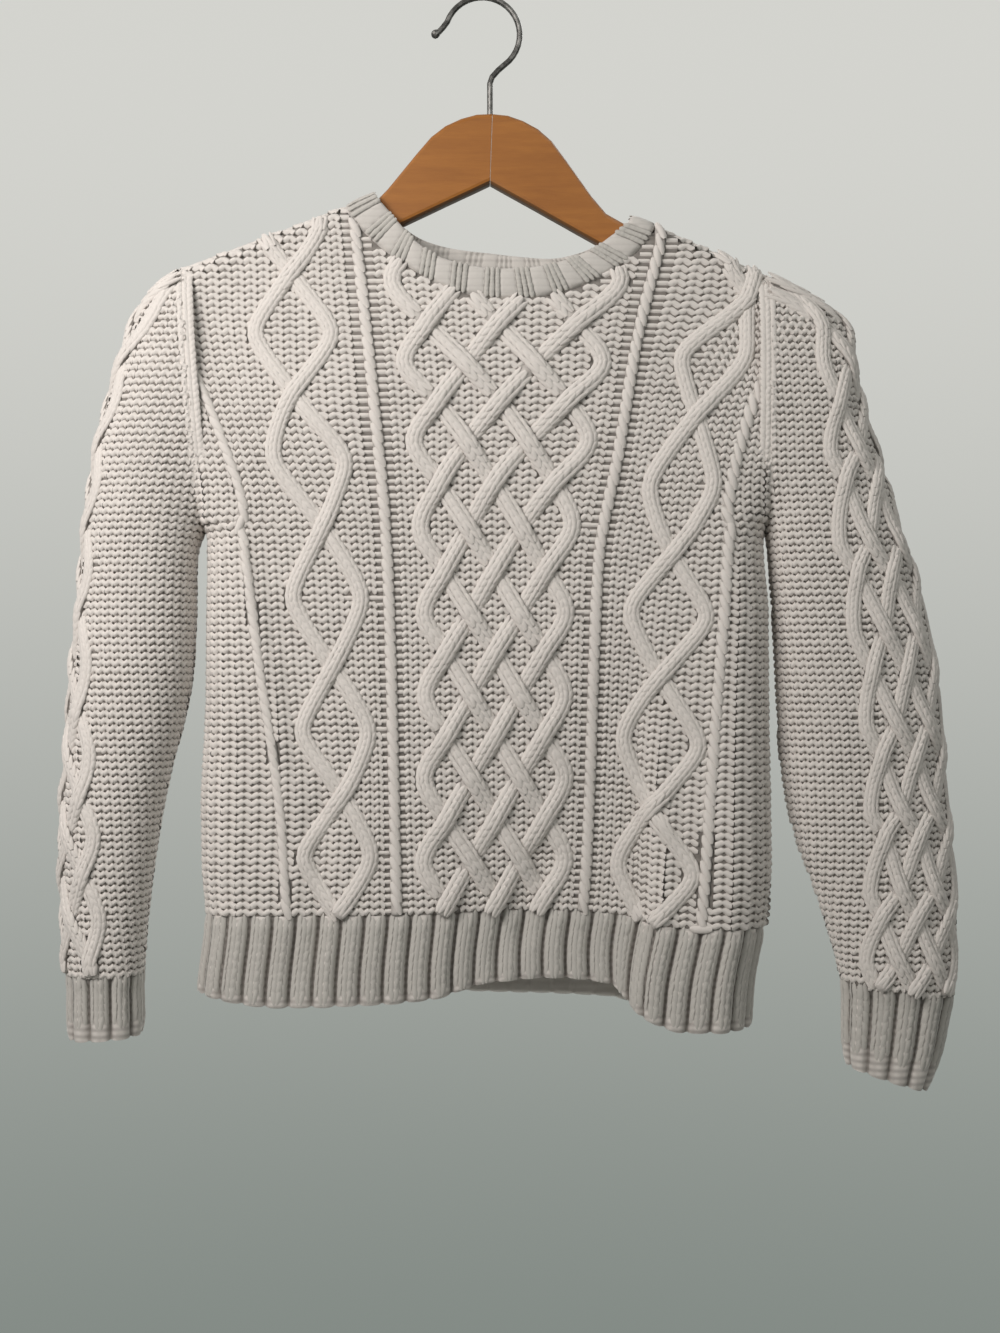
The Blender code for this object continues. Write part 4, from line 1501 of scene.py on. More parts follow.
def ground(cloth: KnitMap, stitches: tuple[float, float], wide: float, courses: np.ndarray,
           runs: list[StrandRun], lines: Iterable[float], yarns: Yarns,
           purl: Shape = Shape.PURL) -> None:
    """Adds the plain ground: purl waves, with straight bars beside the cables.

    Args:
        cloth: the cloth.
        stitches: the first and the last column.
        wide: columns that one purl wave spans.
        courses: the courses, by their middles.
        runs: strands that hide the ground under them.
        lines: the ropes' columns, each with a straight bar on both sides.
        yarns: where the stitches are collected.
        purl: the wave's form.
    """
    first, last = stitches
    both = (-1, 1)
    edges = [line + side * WAVE_EDGE for line in sorted(lines) for side in both]
    ends = [first, *edges, last]
    middles, widths = [], []
    for low, high in zip(ends[::2], ends[1::2]):
        count = max(1, round((high - low) / wide))
        widths += [(high - low) / count] * count
        middles += [low + (k + 0.5) * (high - low) / count for k in range(count)]
    bars = [line + side * BAR_MIDDLE for line in lines for side in both]
    stitch, course = (grid.ravel() for grid in np.meshgrid(middles + bars, courses))
    width = np.tile(widths + [BAR_WIDTH] * len(bars), len(courses))
    straight = np.tile([False] * len(middles) + [True] * len(bars), len(courses))
    keep = cloth.covers(stitch, course)
    pitch = cloth.pitch(stitch, course)
    for run in runs:
        middle, _ = run.at(course)
        lean = np.abs(np.interp(course, run.course, np.gradient(run.stitch, run.course)))
        reached = (course > run.course[0]) & (course < run.course[-1])
        away = np.abs(stitch - middle) * pitch - run.width * 0.5
        plaited = run.wales > 1
        hidden = 2.0 if plaited else run.width * 0.5 - 0.8
        keep &= ~(reached & (away < -hidden))
        straight |= reached & (away < BESIDE_CABLE) & (lean < UPRIGHT_LEAN) & plaited
    stitch, course, pitch = stitch[keep], course[keep], pitch[keep]
    straight, width = straight[keep], width[keep]
    zero = np.zeros(len(stitch))
    course = course + np.where(straight, 0.03 * np.cos(math.pi * np.floor(course)), 0.0)
    along = cloth.heading(stitch, course, zero + 1.0, zero)
    up = cloth.normal(stitch, course)
    points = cloth.place(stitch, course, zero - GROUND_SINK)
    length = pitch * width * GROUND_OVERLAP
    height = np.where(straight, BAR_HEIGHT, WAVE_HEIGHT)
    sizes = np.column_stack([length, zero + COURSE, height])
    for chosen, shape in ((straight, Shape.BAR), (~straight, purl)):
        yarns.add(points[chosen], along[chosen], up[chosen], sizes[chosen], shape)


def panel_map(face: str) -> KnitMap:
    """A panel in stitches and courses, from its own left side seam to its right.

    Args:
        face: "front" or "back".

    Returns:
        The map of its outer face.
    """
    stitches = every(GRID_STITCH, 0.0, PANEL_STITCHES)
    rows = []
    inside = []
    mirror = -1.0 if face == "back" else 1.0
    for course in every(GRID_COURSE, 0.0, BODY_COURSES):
        z = ROW_TOP - course * COURSE
        left = float(body_edge("left", np.array(z)))
        right = float(body_edge("right", np.array(z)))
        x = np.linspace(left, right, 240)
        y = np.maximum(body_depth(face, x, np.full_like(x, z)), LEAST_DEPTH)
        length = running_total(np.hypot(np.diff(x), np.diff(y)))
        above = smoothstep((z - ARMPIT_LEFT[1]) / (SHOULDER_LEFT[1] - ARMPIT_LEFT[1]))
        cast_off = ARMHOLE_STITCHES * float(above)
        knots = [cast_off]
        places = [0.0]
        for name, points in CENTRE_LINES.items():
            line = LAYOUT_MIDDLE + (np.array(points) - LAYOUT_MIDDLE) * LAYOUT_SCALE
            at = float(smooth_interp(z, line[:, 0], line[:, 1]))
            at = float(np.clip(at, left + 2.0, right - 2.0))
            knots.append(CENTRE_STITCHES[name])
            places.append(float(np.interp(at, x, length)))
        knots.append(PANEL_STITCHES - cast_off)
        places.append(length[-1])
        column = stitches if face == "front" else PANEL_STITCHES - stitches
        arc = smooth_interp(column, np.array(knots), np.maximum.accumulate(places))
        fit_x = np.interp(arc, length, x)
        across = (fit_x - left) / (right - left)
        seam_z = hem_levels(face, across)[0]
        fit_z = ROW_TOP + (seam_z - ROW_TOP) * course / BODY_COURSES
        fit_y = np.maximum(body_depth(face, fit_x, fit_z), LEAST_DEPTH)
        rows.append(np.column_stack([fit_x, -mirror * fit_y, fit_z]))
        within = column > knots[0] - PANEL_EDGE_STITCHES
        within &= column < knots[-1] + PANEL_EDGE_STITCHES
        inside.append(within & (fit_z < panel_top(face, fit_x) - 1.2))
    cloth = KnitMap.from_points(0.0, GRID_STITCH, GRID_COURSE, np.array(rows), np.array(inside))
    cloth.points = cloth.points + cloth.outward * CLOTH_OUT
    return cloth


def panel_grid(face: str, columns: int, rows: int) -> np.ndarray:
    """Middle surface of a panel for its wall, from the top edge to the rib seam.

    Args:
        face: "front" or "back".
        columns: how many columns, closer together towards the side seams.
        rows: how many rows, closer together towards the top.

    Returns:
        The points in millimetres, from the wearer's right to left on both faces.
    """
    turn = np.linspace(0.0, 1.0, columns)
    spread = turn - np.sin(2.0 * math.pi * turn) / (2.0 * math.pi) * 0.55
    top_x = SHOULDER_LEFT[0] + (SHOULDER_RIGHT[0] - SHOULDER_LEFT[0]) * spread
    top_z = panel_top(face, top_x)
    left = body_edge("left", top_z)
    right = body_edge("right", top_z)
    across = np.clip((top_x - left) / (right - left), 0.0, 1.0)
    across[0] = 0.0
    across[-1] = 1.0
    seam_z = hem_levels(face, across)[0]
    down = np.linspace(0.0, 1.0, rows) ** 1.25
    z = top_z + (seam_z - top_z) * down[:, None]
    left = body_edge("left", z)
    right = body_edge("right", z)
    x = left + (right - left) * across
    y = np.maximum(body_depth(face, x, z), LEAST_DEPTH)
    return np.stack([x, -y if face == "front" else y, z], axis=-1)


def flat_size(grid: np.ndarray) -> tuple[float, float, float]:
    """Width, length and area of a cut, from its middle surface.

    Args:
        grid: the surface's points, in millimetres.

    Returns:
        The longest row and the longest column in metres, and the area in square metres.
    """
    across = np.linalg.norm(np.diff(grid, axis=1), axis=-1).sum(axis=1).max()
    down = np.linalg.norm(np.diff(grid, axis=0), axis=-1).sum(axis=0).max()
    one = np.cross(grid[1:, :-1] - grid[:-1, :-1], grid[:-1, 1:] - grid[:-1, :-1])
    two = np.cross(grid[1:, :-1] - grid[1:, 1:], grid[:-1, 1:] - grid[1:, 1:])
    area = (np.linalg.norm(one, axis=-1) + np.linalg.norm(two, axis=-1)).sum() / 2.0
    return across * MM, down * MM, area * MM * MM


@dataclass
class Closet:
    """The finishes and the stitch tree that every sub-assembly shares."""

    knit: bpy.types.Material
    rib: bpy.types.Material
    knit_wall: bpy.types.Material
    band: bpy.types.Material
    rib_wall: bpy.types.Material
    wood: bpy.types.Material
    steel: bpy.types.Material
    tree: bpy.types.NodeTree


def settle(piece: bpy.types.Object, node: str | None = None) -> bpy.types.Object:
    """Rides a piece on the body, and hides the CAD node that it stands for.

    Args:
        piece: the piece.
        node: the CAD node, where it stands for one.

    Returns:
        The piece.
    """
    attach(piece, "root")
    if node:
        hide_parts(node)
    return piece


def hang_sheet(grid: np.ndarray) -> None:
    """Works out the flat size that a piece was cut to, and keeps nothing of it.

    Args:
        grid: its middle surface, in millimetres.
    """
    width, length, area = flat_size(grid)


def body_lattice(mirrored: bool) -> Lattice:
    """The wide lattice down the middle of the body.

    Args:
        mirrored: whether its middle is counted from the other side seam, as on the back.

    Returns:
        The lattice, in the body's stitches and courses.
    """
    triple = (-151.0, -208.6, -260.0, -313.0, -370.0, -423.0, -477.0, -531.2, -585.6)
    double = (-180.0, -235.0, -286.0, -342.0, -397.5, -450.0, -504.0, -558.4, -612.0)
    spacing = ((-205.0, 3.2), (-256.0, 3.0), (-308.0, 2.9), (-369.0, 2.82), (-422.0, 2.8),
               (-592.0, 3.1))
    centre = CENTRE_STITCHES["lattice"]
    if mirrored:
        centre = PANEL_STITCHES - centre
    return Lattice(
        centre=centre,
        triple=tuple(course_at(z) for z in triple),
        double=tuple(course_at(z) for z in double),
        spacing=tuple((course_at(z), stitches) for z, stitches in spacing),
        start=4.0,
        end=float(BODY_COURSES),
        width=11.4,
        height=4.6,
    )


@dataclass
class Panel:
    """The front or the back of the body: its wall, its ground and its cables."""

    face: str
    closet: Closet
    columns: int = 64
    rows: int = 50
    wave: float = 1.25

    def mirrored(self, stitch: float) -> float:
        """A column as counted from this face's own left."""
        return stitch if self.face == "front" else PANEL_STITCHES - stitch

    def cables(self) -> tuple[list[StrandRun], list[StrandRun]]:
        """Lays out the panel's cables.

        Returns:
            Every plaited strand, and every narrow rope.
        """
        bottom = float(BODY_COURSES)
        lattice = body_lattice(self.face == "back").runs()
        left = (-174.0, -254.0, -341.0, -432.0, -515.2, -592.0)
        right = (-188.8, -265.6, -355.2, -433.3, -519.0, -598.4)
        diamonds = []
        for name, levels, reach in (("left_diamond", left, 3.7), ("right_diamond", right, 4.0)):
            diamonds += Diamond(
                centre=self.mirrored(CENTRE_STITCHES[name]),
                crossings=tuple(course_at(z) for z in levels),
                reach=reach, start=4.0, end=bottom, width=10.6, height=4.4).runs()
        ropes = []
        for name in ("left_rope", "right_rope"):
            middle = self.mirrored(CENTRE_STITCHES[name])
            ropes += Rope(((2.0, middle), (bottom, middle))).runs()
        sides = (((-232.0, 3.3), (-262.0, 4.5), (-320.0, 6.0), (-592.0, 9.9)),
                 ((-232.0, 62.7), (-262.0, 61.2), (-330.0, 59.9), (-600.0, 58.8)))
        for side in sides:
            places = tuple((course_at(z), self.mirrored(s)) for z, s in side)
            ropes += Rope(places, width=7.2, height=3.0).runs()
        return lattice + diamonds, ropes

    def shoulder_seam(self, yarns: Yarns) -> None:
        """Adds the soft ridge of the seam along both shoulders.

        Args:
            yarns: where the stitches are collected.
        """
        crest = table(CREST_COLUMNS, CREST_ROWS)
        radius = 4.6
        size = np.array([9.0, 5.2, 2.0])
        for start, end in ((SHOULDER_LEFT[0], NECK_LEFT[0]), (NECK_RIGHT[0], SHOULDER_RIGHT[0])):
            x = np.arange(start + 2.0, end - 1.0, 3.7)
            zero = np.zeros(len(x))
            middle = np.column_stack([x, zero, smooth_interp(x, crest["x"], crest["z"]) - 0.6])
            along = unit(np.gradient(middle, axis=0))
            rise = np.column_stack([-along[:, 2], zero, along[:, 0]])
            for tilt in (-0.85, 0.0, 0.85):
                out = np.array([0.0, math.sin(tilt), 0.0])
                up = rise * math.cos(tilt) + out
                points = middle + out * radius - rise * 1.3 * abs(math.sin(tilt))
                yarns.add(points, along, up, size, Shape.LEG)

    def build(self) -> bpy.types.Object:
        """Builds the wall, the stitches and the cables.

        Returns:
            The finished wall.
        """
        grid = panel_grid(self.face, self.columns, self.rows)
        if self.face == "back":
            grid = grid[:, ::-1]
        normals = unit(np.cross(np.gradient(grid, axis=0), np.gradient(grid, axis=1)))
        made = wall(self.face + "_cloth", grid + normals * CLOTH_OUT, grid - normals * CLOTH_IN,
                    False, self.closet.knit_wall)
        settle(made, self.face)
        cloth = panel_map(self.face)
        plaits, ropes = (inside_runs(cloth, runs) for runs in self.cables())
        yarns = Yarns()
        lines = [self.mirrored(CENTRE_STITCHES[name]) for name in ("left_rope", "right_rope")]
        ground(cloth, (0.0, PANEL_STITCHES), self.wave, np.arange(0.5, BODY_COURSES),
               plaits + ropes, lines, yarns)
        pieces = [knit(self.face + "_ground", yarns, self.closet.tree, self.closet.knit)]
        legs = Yarns()
        strand_legs(cloth, plaits, legs)
        rope_legs(cloth, ropes, legs)
        if self.face == "front":
            self.shoulder_seam(legs)
        pieces.append(knit(self.face + "_cable_stitches", legs, self.closet.tree,
                           self.closet.knit))
        pieces.append(strand_tubes(self.face + "_cables", cloth, plaits + ropes,
                                   self.closet.knit))
        for piece in pieces:
            settle(piece)
        hang_sheet(grid)
        return made


@dataclass
class Ribbing:
    """A band of two by two rib: raised pairs of knit columns with sunk columns between.

    Attributes:
        name: the CAD node that it stands for.
        closet: the shared finishes.
        closed: whether it runs all the way round.
        courses: how many courses deep it is.
        height: from a sunk column up to a raised one, in millimetres.
        sink: how far a sunk column lies below the middle surface, in millimetres.
        wall_in: from the middle surface to the inner face, in millimetres.
        raised: the share of each pair's width that is raised.
        plain_edge: courses at the lower edge without stitches.
        wales: knit columns on each raised part.
        steps: columns of points for each pair.
    """

    name: str
    closet: Closet
    closed: bool
    courses: float = 11.0
    height: float = 4.4
    sink: float = 1.6
    wall_in: float = 2.6
    raised: float = 0.90
    plain_edge: float = 3.0
    wales: int = 2
    steps: int = 12

    def profile(self, ribs: np.ndarray) -> np.ndarray:
        """Height of the rib across, as a share of its full height.

        Args:
            ribs: places across, counted in pairs.

        Returns:
            The height at each place, a little different from pair to pair.
        """
        place = np.mod(ribs, 1.0)
        half = self.raised / 2.0
        away = np.clip(np.abs(place / half - 1.0), 0.0, 1.0)
        uneven = 0.90 + 0.10 * np.sin(2.4 * np.floor(ribs) + 0.9 * np.sin(1.3 * np.floor(ribs)))
        return np.sqrt(1.0 - away ** 2.2) * uneven

    def build(self, middle: np.ndarray, count: int, held_by: list[str]) -> bpy.types.Object:
        """Builds the band.

        Args:
            middle: its middle surface in millimetres, rows down and columns to the right.
            count: how many pairs of columns it holds, evenly spaced along it.
            held_by: the pieces that it hangs from; not used.

        Returns:
            The finished wall.
        """
        columns = count * self.steps + (0 if self.closed else 1)
        rows = middle.shape[0]
        target = np.linspace(0.0, 1.0, columns + (1 if self.closed else 0))
        if self.closed:
            middle = joined_round(middle)
        grid = np.zeros((rows, len(target), 3))
        for i in range(rows):
            arc = running_total(np.linalg.norm(np.diff(middle[i], axis=0), axis=-1))
            for axis in range(3):
                grid[i, :, axis] = np.interp(target * arc[-1], arc, middle[i, :, axis])
        down = np.gradient(grid, axis=0)
        if self.closed:
            grid = grid[:, :-1]
            down = down[:, :-1]
            across = np.roll(grid, -1, axis=1) - np.roll(grid, 1, axis=1)
        else:
            across = np.gradient(grid, axis=1)
        normals = unit(np.cross(down, across))
        raise_by = self.profile(np.arange(columns) / self.steps)
        depth = np.linspace(0.0, 1.0, rows)
        # The band is half as high at its seam, and its lower edge rounds in.
        start = 0.5 + 0.5 * smoothstep(depth / 0.08)
        rounding = 1.0 - 0.65 * smoothstep((depth - 0.93) / 0.07)
        lift = (raise_by[None, :] * self.height - self.sink) * (rounding * start)[:, None]
        face = grid + normals * lift[..., None]
        outer = face.copy()
        outer[-1, :, 2] -= raise_by * 1.2
        sunk = (0.4 + 2.0 * (1.0 - raise_by))[None, :] * rounding[:, None]
        inner = grid - normals * (self.wall_in * rounding[:, None] + sunk)[..., None] * 0.62
        # Painted shade: the sunk columns are darker on the outer face, and the inner face is
        # painted lighter, most where the outside is sunk.
        made = wall(self.name + "_cloth", outer, inner, self.closed, self.closet.rib_wall,
                    0.16 + 0.40 * raise_by, 1.4 - 0.6 * raise_by)
        settle(made, self.name)
        yarns = self.stitches(face, count)
        legs = knit(self.name + "_stitches", yarns, self.closet.tree, self.closet.rib)
        settle(legs)
        hang_sheet(joined_round(grid) if self.closed else grid)
        return made

    def stitches(self, points: np.ndarray, count: int) -> Yarns:
        """The V stitches on the raised columns of the band's outer face.

        Args:
            points: the outer face, in millimetres.
            count: how many pairs of columns it holds.

        Returns:
            The stitches.
        """
        yarns = Yarns()
        if self.closed:
            points = joined_round(points)
        scale = self.courses / (points.shape[0] - 1)
        skin = KnitMap.from_points(0.0, 1.0 / self.steps, scale, points,
                                   np.ones(points.shape[:2]))
        slope = 0.10
        courses = np.arange(0.6, self.courses - self.plain_edge, 1.0)
        wale = self.raised / self.wales
        for rib in range(count):
            for k in range(2 * self.wales):
                place = rib + wale * (0.5 * k + 0.25)
                lean = slope if k % 2 == 0 else -slope
                course = courses + (0.5 if k in (1, 2) else 0.0)
                stitch = np.full(len(course), place)
                zero = np.zeros(len(course))
                down = skin.heading(stitch, course, zero, zero + 1.0)
                up = skin.normal(stitch, course)
                along = turned(down, unit(np.cross(down, up)), lean)
                width = skin.pitch(stitch, course) * wale * 0.5
                size = np.column_stack([zero + COURSE * 2.5, width * 1.16, zero + 0.85])
                middle = skin.place(stitch, course, zero - GROUND_SINK)
                yarns.add(middle, along, up, size, Shape.LEG)
        return yarns


def hem_grid(face: str) -> np.ndarray:
    """Middle surface of the hem's rib, rows down from its seam.

    Args:
        face: "front" or "back".

    Returns:
        The points in millimetres, from left to right as seen from outside.
    """
    across = np.linspace(0.0, 1.0, 160)
    seam_z, hem_z = hem_levels(face, across)
    down = np.concatenate([np.linspace(0.0, 0.9, 10), [0.95, 0.98, 1.0]])
    z = seam_z - 0.3 + (hem_z - seam_z + 0.3) * down[:, None]
    left = body_edge("left", z)
    right = body_edge("right", z)
    x = left + (right - left) * across
    y = np.maximum(body_depth(face, x, z), LEAST_DEPTH)
    grid = np.stack([x, -y if face == "front" else y, z], axis=-1)
    return grid if face == "front" else grid[:, ::-1]


def sleeve_surface(rows: tuple, count: int, around: int) -> np.ndarray:
    """Rings of points down an arm, each from its outer point round by the back.

    Args:
        rows: the rows of a ring table.
        count: how many rings.
        around: how many points in each.

    Returns:
        The points, in millimetres.
    """
    rings = table(RING_COLUMNS, rows)
    place = np.arange(len(rows), dtype=float)
    at = np.linspace(0.0, len(rows) - 1.0, count)
    smooth = {name: smooth_interp(at, place, rings[name]) for name in RING_COLUMNS}
    angle = np.arange(around) * 2.0 * math.pi / around
    power = 2.0 / OVAL_POWER
    along = np.sign(np.cos(angle)) * np.abs(np.cos(angle)) ** power
    sideways = np.sign(np.sin(angle)) * np.abs(np.sin(angle)) ** power
    inner = np.stack([smooth["inner_x"], smooth["inner_z"]], axis=-1)
    outer = np.stack([smooth["outer_x"], smooth["outer_z"]], axis=-1)
    middle = (inner + outer) / 2.0
    half = (outer - inner) / 2.0
    points = np.zeros((count, around, 3))
    points[..., 0] = middle[:, :1] + half[:, :1] * along
    points[..., 2] = middle[:, 1:] + half[:, 1:] * along
    points[..., 1] = smooth["middle_y"][:, None] + smooth["half_depth"][:, None] * sideways
    return points


@dataclass
class Sleeve:
    """A sleeve with its lattice cable down the outer side, and its ribbed cuff.

    Attributes:
        side: "left" or "right".
        closet: the shared finishes.
        rings: the sleeve's ring table.
        cuff_rings: the cuff's ring table.
        axis: heights, and how far the cable's middle lies round from the outer point there.
        triple: heights where three pairs of strands cross.
        double: heights where two pairs cross.
        cuff_ribs: pairs of columns round the cuff.
        half_stitches: stitches from the cable's middle to the inner side.
        spacing: from one track of the cable to the next, in millimetres.
    """

    side: str
    closet: Closet
    rings: tuple
    cuff_rings: tuple
    axis: tuple[tuple[float, float], ...]
    triple: tuple[float, ...]
    double: tuple[float, ...]
    cuff_ribs: int
    half_stitches: float = 25.0
    spacing: float = 11.3

    def top_z(self) -> float:
        """Height of the sleeve's highest point."""
        return self.rings[0][3]

    def bottom_z(self) -> float:
        """Height of the cuff seam at its lowest."""
        return min(self.rings[-1][1], self.rings[-1][3])

    def course_at(self, z: float) -> float:
        """The sleeve's course at a height."""
        return (self.top_z() - z) / COURSE

    def level_map(self) -> KnitMap:
        """Lays out the sleeve in level courses.

        Returns:
            The map, in stitches round from the cable's middle.
        """
        around = 144
        surface = sleeve_surface(self.rings, 120, around)
        handed = 1.0 if self.side == "right" else -1.0
        courses = np.arange(0.0, self.course_at(self.bottom_z()) + GRID_COURSE, GRID_COURSE)
        stitches = every(GRID_STITCH, -self.half_stitches, self.half_stitches)
        centre = np.array(self.axis)
        ring = np.arange(len(surface), dtype=float)
        rows = []
        inside = []
        order = np.arange(-around // 2, around // 2 + 1)
        for course in courses:
            z = self.top_z() - course * COURSE
            line = np.zeros((len(order), 3))
            reached = np.zeros(len(order), bool)
            for n, k in enumerate(order):
                column = surface[:, k % around]
                heights = column[:, 2]
                at = np.interp(-z, -heights, ring)
                reached[n] = heights[-1] <= z + 0.01 and z <= heights[0]
                line[n] = [np.interp(at, ring, column[:, axis]) for axis in range(3)]
                if reached[n]:
                    line[n, 2] = z
            if handed < 0:
                line = line[::-1]
                reached = reached[::-1]
            arc = running_total(np.linalg.norm(np.diff(line, axis=0), axis=-1))
            arc -= arc[len(order) // 2]
            shift = float(smooth_interp(z, centre[:, 0], centre[:, 1])) * handed
            place = stitches * STITCH - shift
            points = np.stack([np.interp(place, arc, line[:, a]) for a in range(3)], axis=-1)
            rows.append(points)
            good = np.interp(place, arc, reached.astype(float)) > 0.5
            inside.append(good & (place > arc[0] + 0.5) & (place < arc[-1] - 0.5))
        cloth = KnitMap.from_points(-self.half_stitches, GRID_STITCH, GRID_COURSE,
                                    np.array(rows), np.array(inside))
        cloth.points = cloth.points + cloth.outward * CLOTH_OUT
        return cloth

    def armhole_seam(self, yarns: Yarns) -> None:
        """Adds the soft ridge of the seam round the armhole, front and back.

        Args:
            yarns: where the stitches are collected.
        """
        turn = np.linspace(0.03, 0.97, 40)
        top, foot = ARMHOLES[self.side]
        z = top[1] + (foot[1] - top[1]) * turn
        x = body_edge(self.side, z)
        right = np.array([1.0, 0.0, 0.0])
        inward = 1.0 if self.side == "left" else -1.0
        for face in (-1.0, 1.0):
            middle = np.column_stack([x, face * (armhole_depth(self.side, z) + 0.6), z])
            down = unit(np.gradient(middle, axis=0))
            up = unit(np.cross(down, right)) * -face
            for off, lean, height in ((-1.7, -0.3, 1.2), (1.7, 0.3, 1.2), (4.6, -0.3, 1.1)):
                along = unit(down + right * inward * lean)
                points = middle + right * inward * off
                yarns.add(points, along, up, np.array([8.0, 4.2, height]), Shape.LEG)

    def build(self) -> bpy.types.Object:
        """Builds the wall, the ground, the lattice and the cuff.

        Returns:
            The finished wall.
        """
        name = "sleeve_" + self.side
        surface = sleeve_surface(self.rings, 56, 48)
        if self.side == "left":
            surface = surface[:, ::-1]
        across = np.roll(surface, -1, axis=1) - np.roll(surface, 1, axis=1)
        normals = unit(np.cross(np.gradient(surface, axis=0), across))
        made = wall(name + "_cloth", surface + normals * CLOTH_OUT, surface - normals * CLOTH_IN,
                    True, self.closet.knit_wall)
        settle(made, name)
        cloth = self.level_map()
        last = self.course_at(self.bottom_z())
        apart = self.spacing / STITCH
        lattice = Lattice(
            centre=0.0,
            triple=tuple(self.course_at(z) for z in self.triple),
            double=tuple(self.course_at(z) for z in self.double),
            spacing=((0.0, apart), (last, apart)),
            start=1.0, end=last, width=9.8, height=4.2, over=2.0, under=-1.1, bulge=2.7)
        runs = inside_runs(cloth, lattice.runs())
        yarns = Yarns()
        ground(cloth, (-self.half_stitches, self.half_stitches), 1.0, np.arange(0.5, last),
               runs, (), yarns, Shape.CLOSE_PURL)
        pieces = [knit(name + "_ground", yarns, self.closet.tree, self.closet.knit)]
        legs = Yarns()
        strand_legs(cloth, runs, legs)
        self.armhole_seam(legs)
        pieces.append(knit(name + "_cable_stitches", legs, self.closet.tree, self.closet.knit))
        pieces.append(strand_tubes(name + "_cables", cloth, runs, self.closet.knit))
        for piece in pieces:
            settle(piece)
        hang_sheet(joined_round(surface))
        cuff = sleeve_surface(self.cuff_rings, 14, 120)
        if self.side == "left":
            cuff = cuff[:, ::-1]
        band = Ribbing("cuff_" + self.side, self.closet, True, courses=9.0, plain_edge=2.0)
        band.build(cuff, self.cuff_ribs, [name + "_cloth"])
        return made


@dataclass
class Collar:
    """The folded neck band, with groups of three fine raised columns."""

    closet: Closet
    groups: int = 22
    steps: int = 24
    thickness: float = 4.6
    relief: float = 0.8

    def loop(self, steps: int) -> np.ndarray:
        """Seam and fold points round the neck, front first, evenly spaced.

        Args:
            steps: how many stations there are.

        Returns:
            For each station, the seam point and then the fold point.
        """
        front = np.array(COLLAR_FRONT, float)
        back = np.array(COLLAR_BACK, float)
        front_y = -body_depth("front", front[:, 0], front[:, 1])
        front_y[[0, -1]] = 0.0
        back_y = body_depth("back", back[:, 0], back[:, 1])
        ring = np.concatenate([np.column_stack([front, front_y]),
                               np.column_stack([back, back_y])[::-1]])
        between = 8
        at = np.arange(len(ring) * between) / float(between)
        k = at.astype(int)
        t = (at - k)[:, None]
        a, b, c, d = (ring[(k + step) % len(ring)] for step in (-1, 0, 1, 2))
        fine = 0.5 * (2.0 * b + (c - a) * t + (2.0 * a - 5.0 * b + 4.0 * c - d) * t * t
                      + (3.0 * b - 3.0 * c + d - a) * t ** 3)
        fine = np.concatenate([fine, fine[:1]])
        arc = running_total(np.linalg.norm(np.diff(fine[:, [0, 4, 1]], axis=0), axis=-1))
        even = np.linspace(0.0, arc[-1], steps + 1)[:-1]
        fine = np.stack([np.interp(even, arc, fine[:, c]) for c in range(5)], axis=-1)
        seam = fine[:, [0, 4, 1]]
        fold = fine[:, [2, 4, 3]]
        fold[:, 1] *= COLLAR_LEAN_IN
        return np.stack([seam, fold], axis=1)

    def build(self) -> bpy.types.Object:
        """Builds the band and its stitches.

        Returns:
            The finished band.
        """
        count = self.groups * self.steps
        loop = self.loop(count)
        seam, fold = loop[:, 0], loop[:, 1]
        rise = unit(fold - seam)
        seam = seam + rise * 0.6
        tangent = np.roll(seam + fold, -1, axis=0) - np.roll(seam + fold, 1, axis=0)
        outward = unit(np.cross(tangent, rise))
        place = np.mod(np.arange(count) / self.steps, 1.0) - 0.5
        group = smoothstep((0.31 - np.abs(place)) / 0.08)
        ridge = 0.5 + 0.5 * np.cos(2.0 * math.pi * place * 6.0)
        swell = 0.9 * (1.0 - group) * np.cos(math.pi * (np.abs(place) - 0.5)) ** 2
        relief = group * (ridge * 1.2 - 0.5) + swell
        half = self.thickness / 2.0
        rows = []
        painted_light_levels = []
        for share, out in COLLAR_SECTION:
            lift = half * out + relief * self.relief * out
            rows.append(seam + (fold - seam) * share + outward * lift[:, None])
            # Painted shade: darker in the grooves between the raised columns, and a little darker
            # on the band's inner side.
            painted_light_levels.append((0.80 - group * (1.0 - ridge) * 0.42) * (1.0 if out > 0.0 else 0.9))
        made = self._tube(np.array(rows)[::-1], np.array(painted_light_levels)[::-1])
        settle(made, "collar")
        yarns = Yarns()
        size = np.array([5.4, 3.4, 0.9])
        middles = (np.arange(self.groups) + 0.5) * self.steps
        for share in np.arange(0.10, 0.95, 0.13):
            for wale in (-1, 0, 1):
                k = np.round(middles + wale * self.steps / 6.0).astype(int) % count
                tucked = half * (0.9 if share < 0.15 else 1.0)
                lift = tucked + relief[k] * self.relief - LEG_SINK
                points = seam[k] + (fold - seam)[k] * share + outward[k] * lift[:, None]
                yarns.add(points, rise[k], outward[k], size, Shape.LEG)
        legs = knit("collar_stitches", yarns, self.closet.tree, self.closet.rib)
        settle(legs)
        ring = joined_round(np.stack([seam, fold], axis=0))
        hang_sheet(ring)
        return made

    def _tube(self, grid: np.ndarray, painted_light_levels: np.ndarray) -> bpy.types.Object:
        """A closed ring from rows that run round the band's section.

        Args:
            grid: the points, in millimetres, a row for each point of the section.
            painted_light_levels: how far each point stands out of the hollows, which sets its
                painted shade.

        Returns:
            The band.
        """
        rows, columns = grid.shape[:2]
        index = np.arange(rows * columns).reshape(rows, columns)
        after = np.roll(index, -1, axis=0)
        right = np.roll(index, -1, axis=1)
        both = np.roll(after, -1, axis=1)
        faces = np.stack([index, right, both, after], axis=-1).reshape(-1, 4)
        made = new_mesh_object("collar_cloth", grid.reshape(-1, 3), faces.tolist())
        cover_mesh(made, painted_light_levels, self.closet.band)
        LOG.info("collar_cloth: %d triangles", 2 * len(made.data.polygons))
        return made


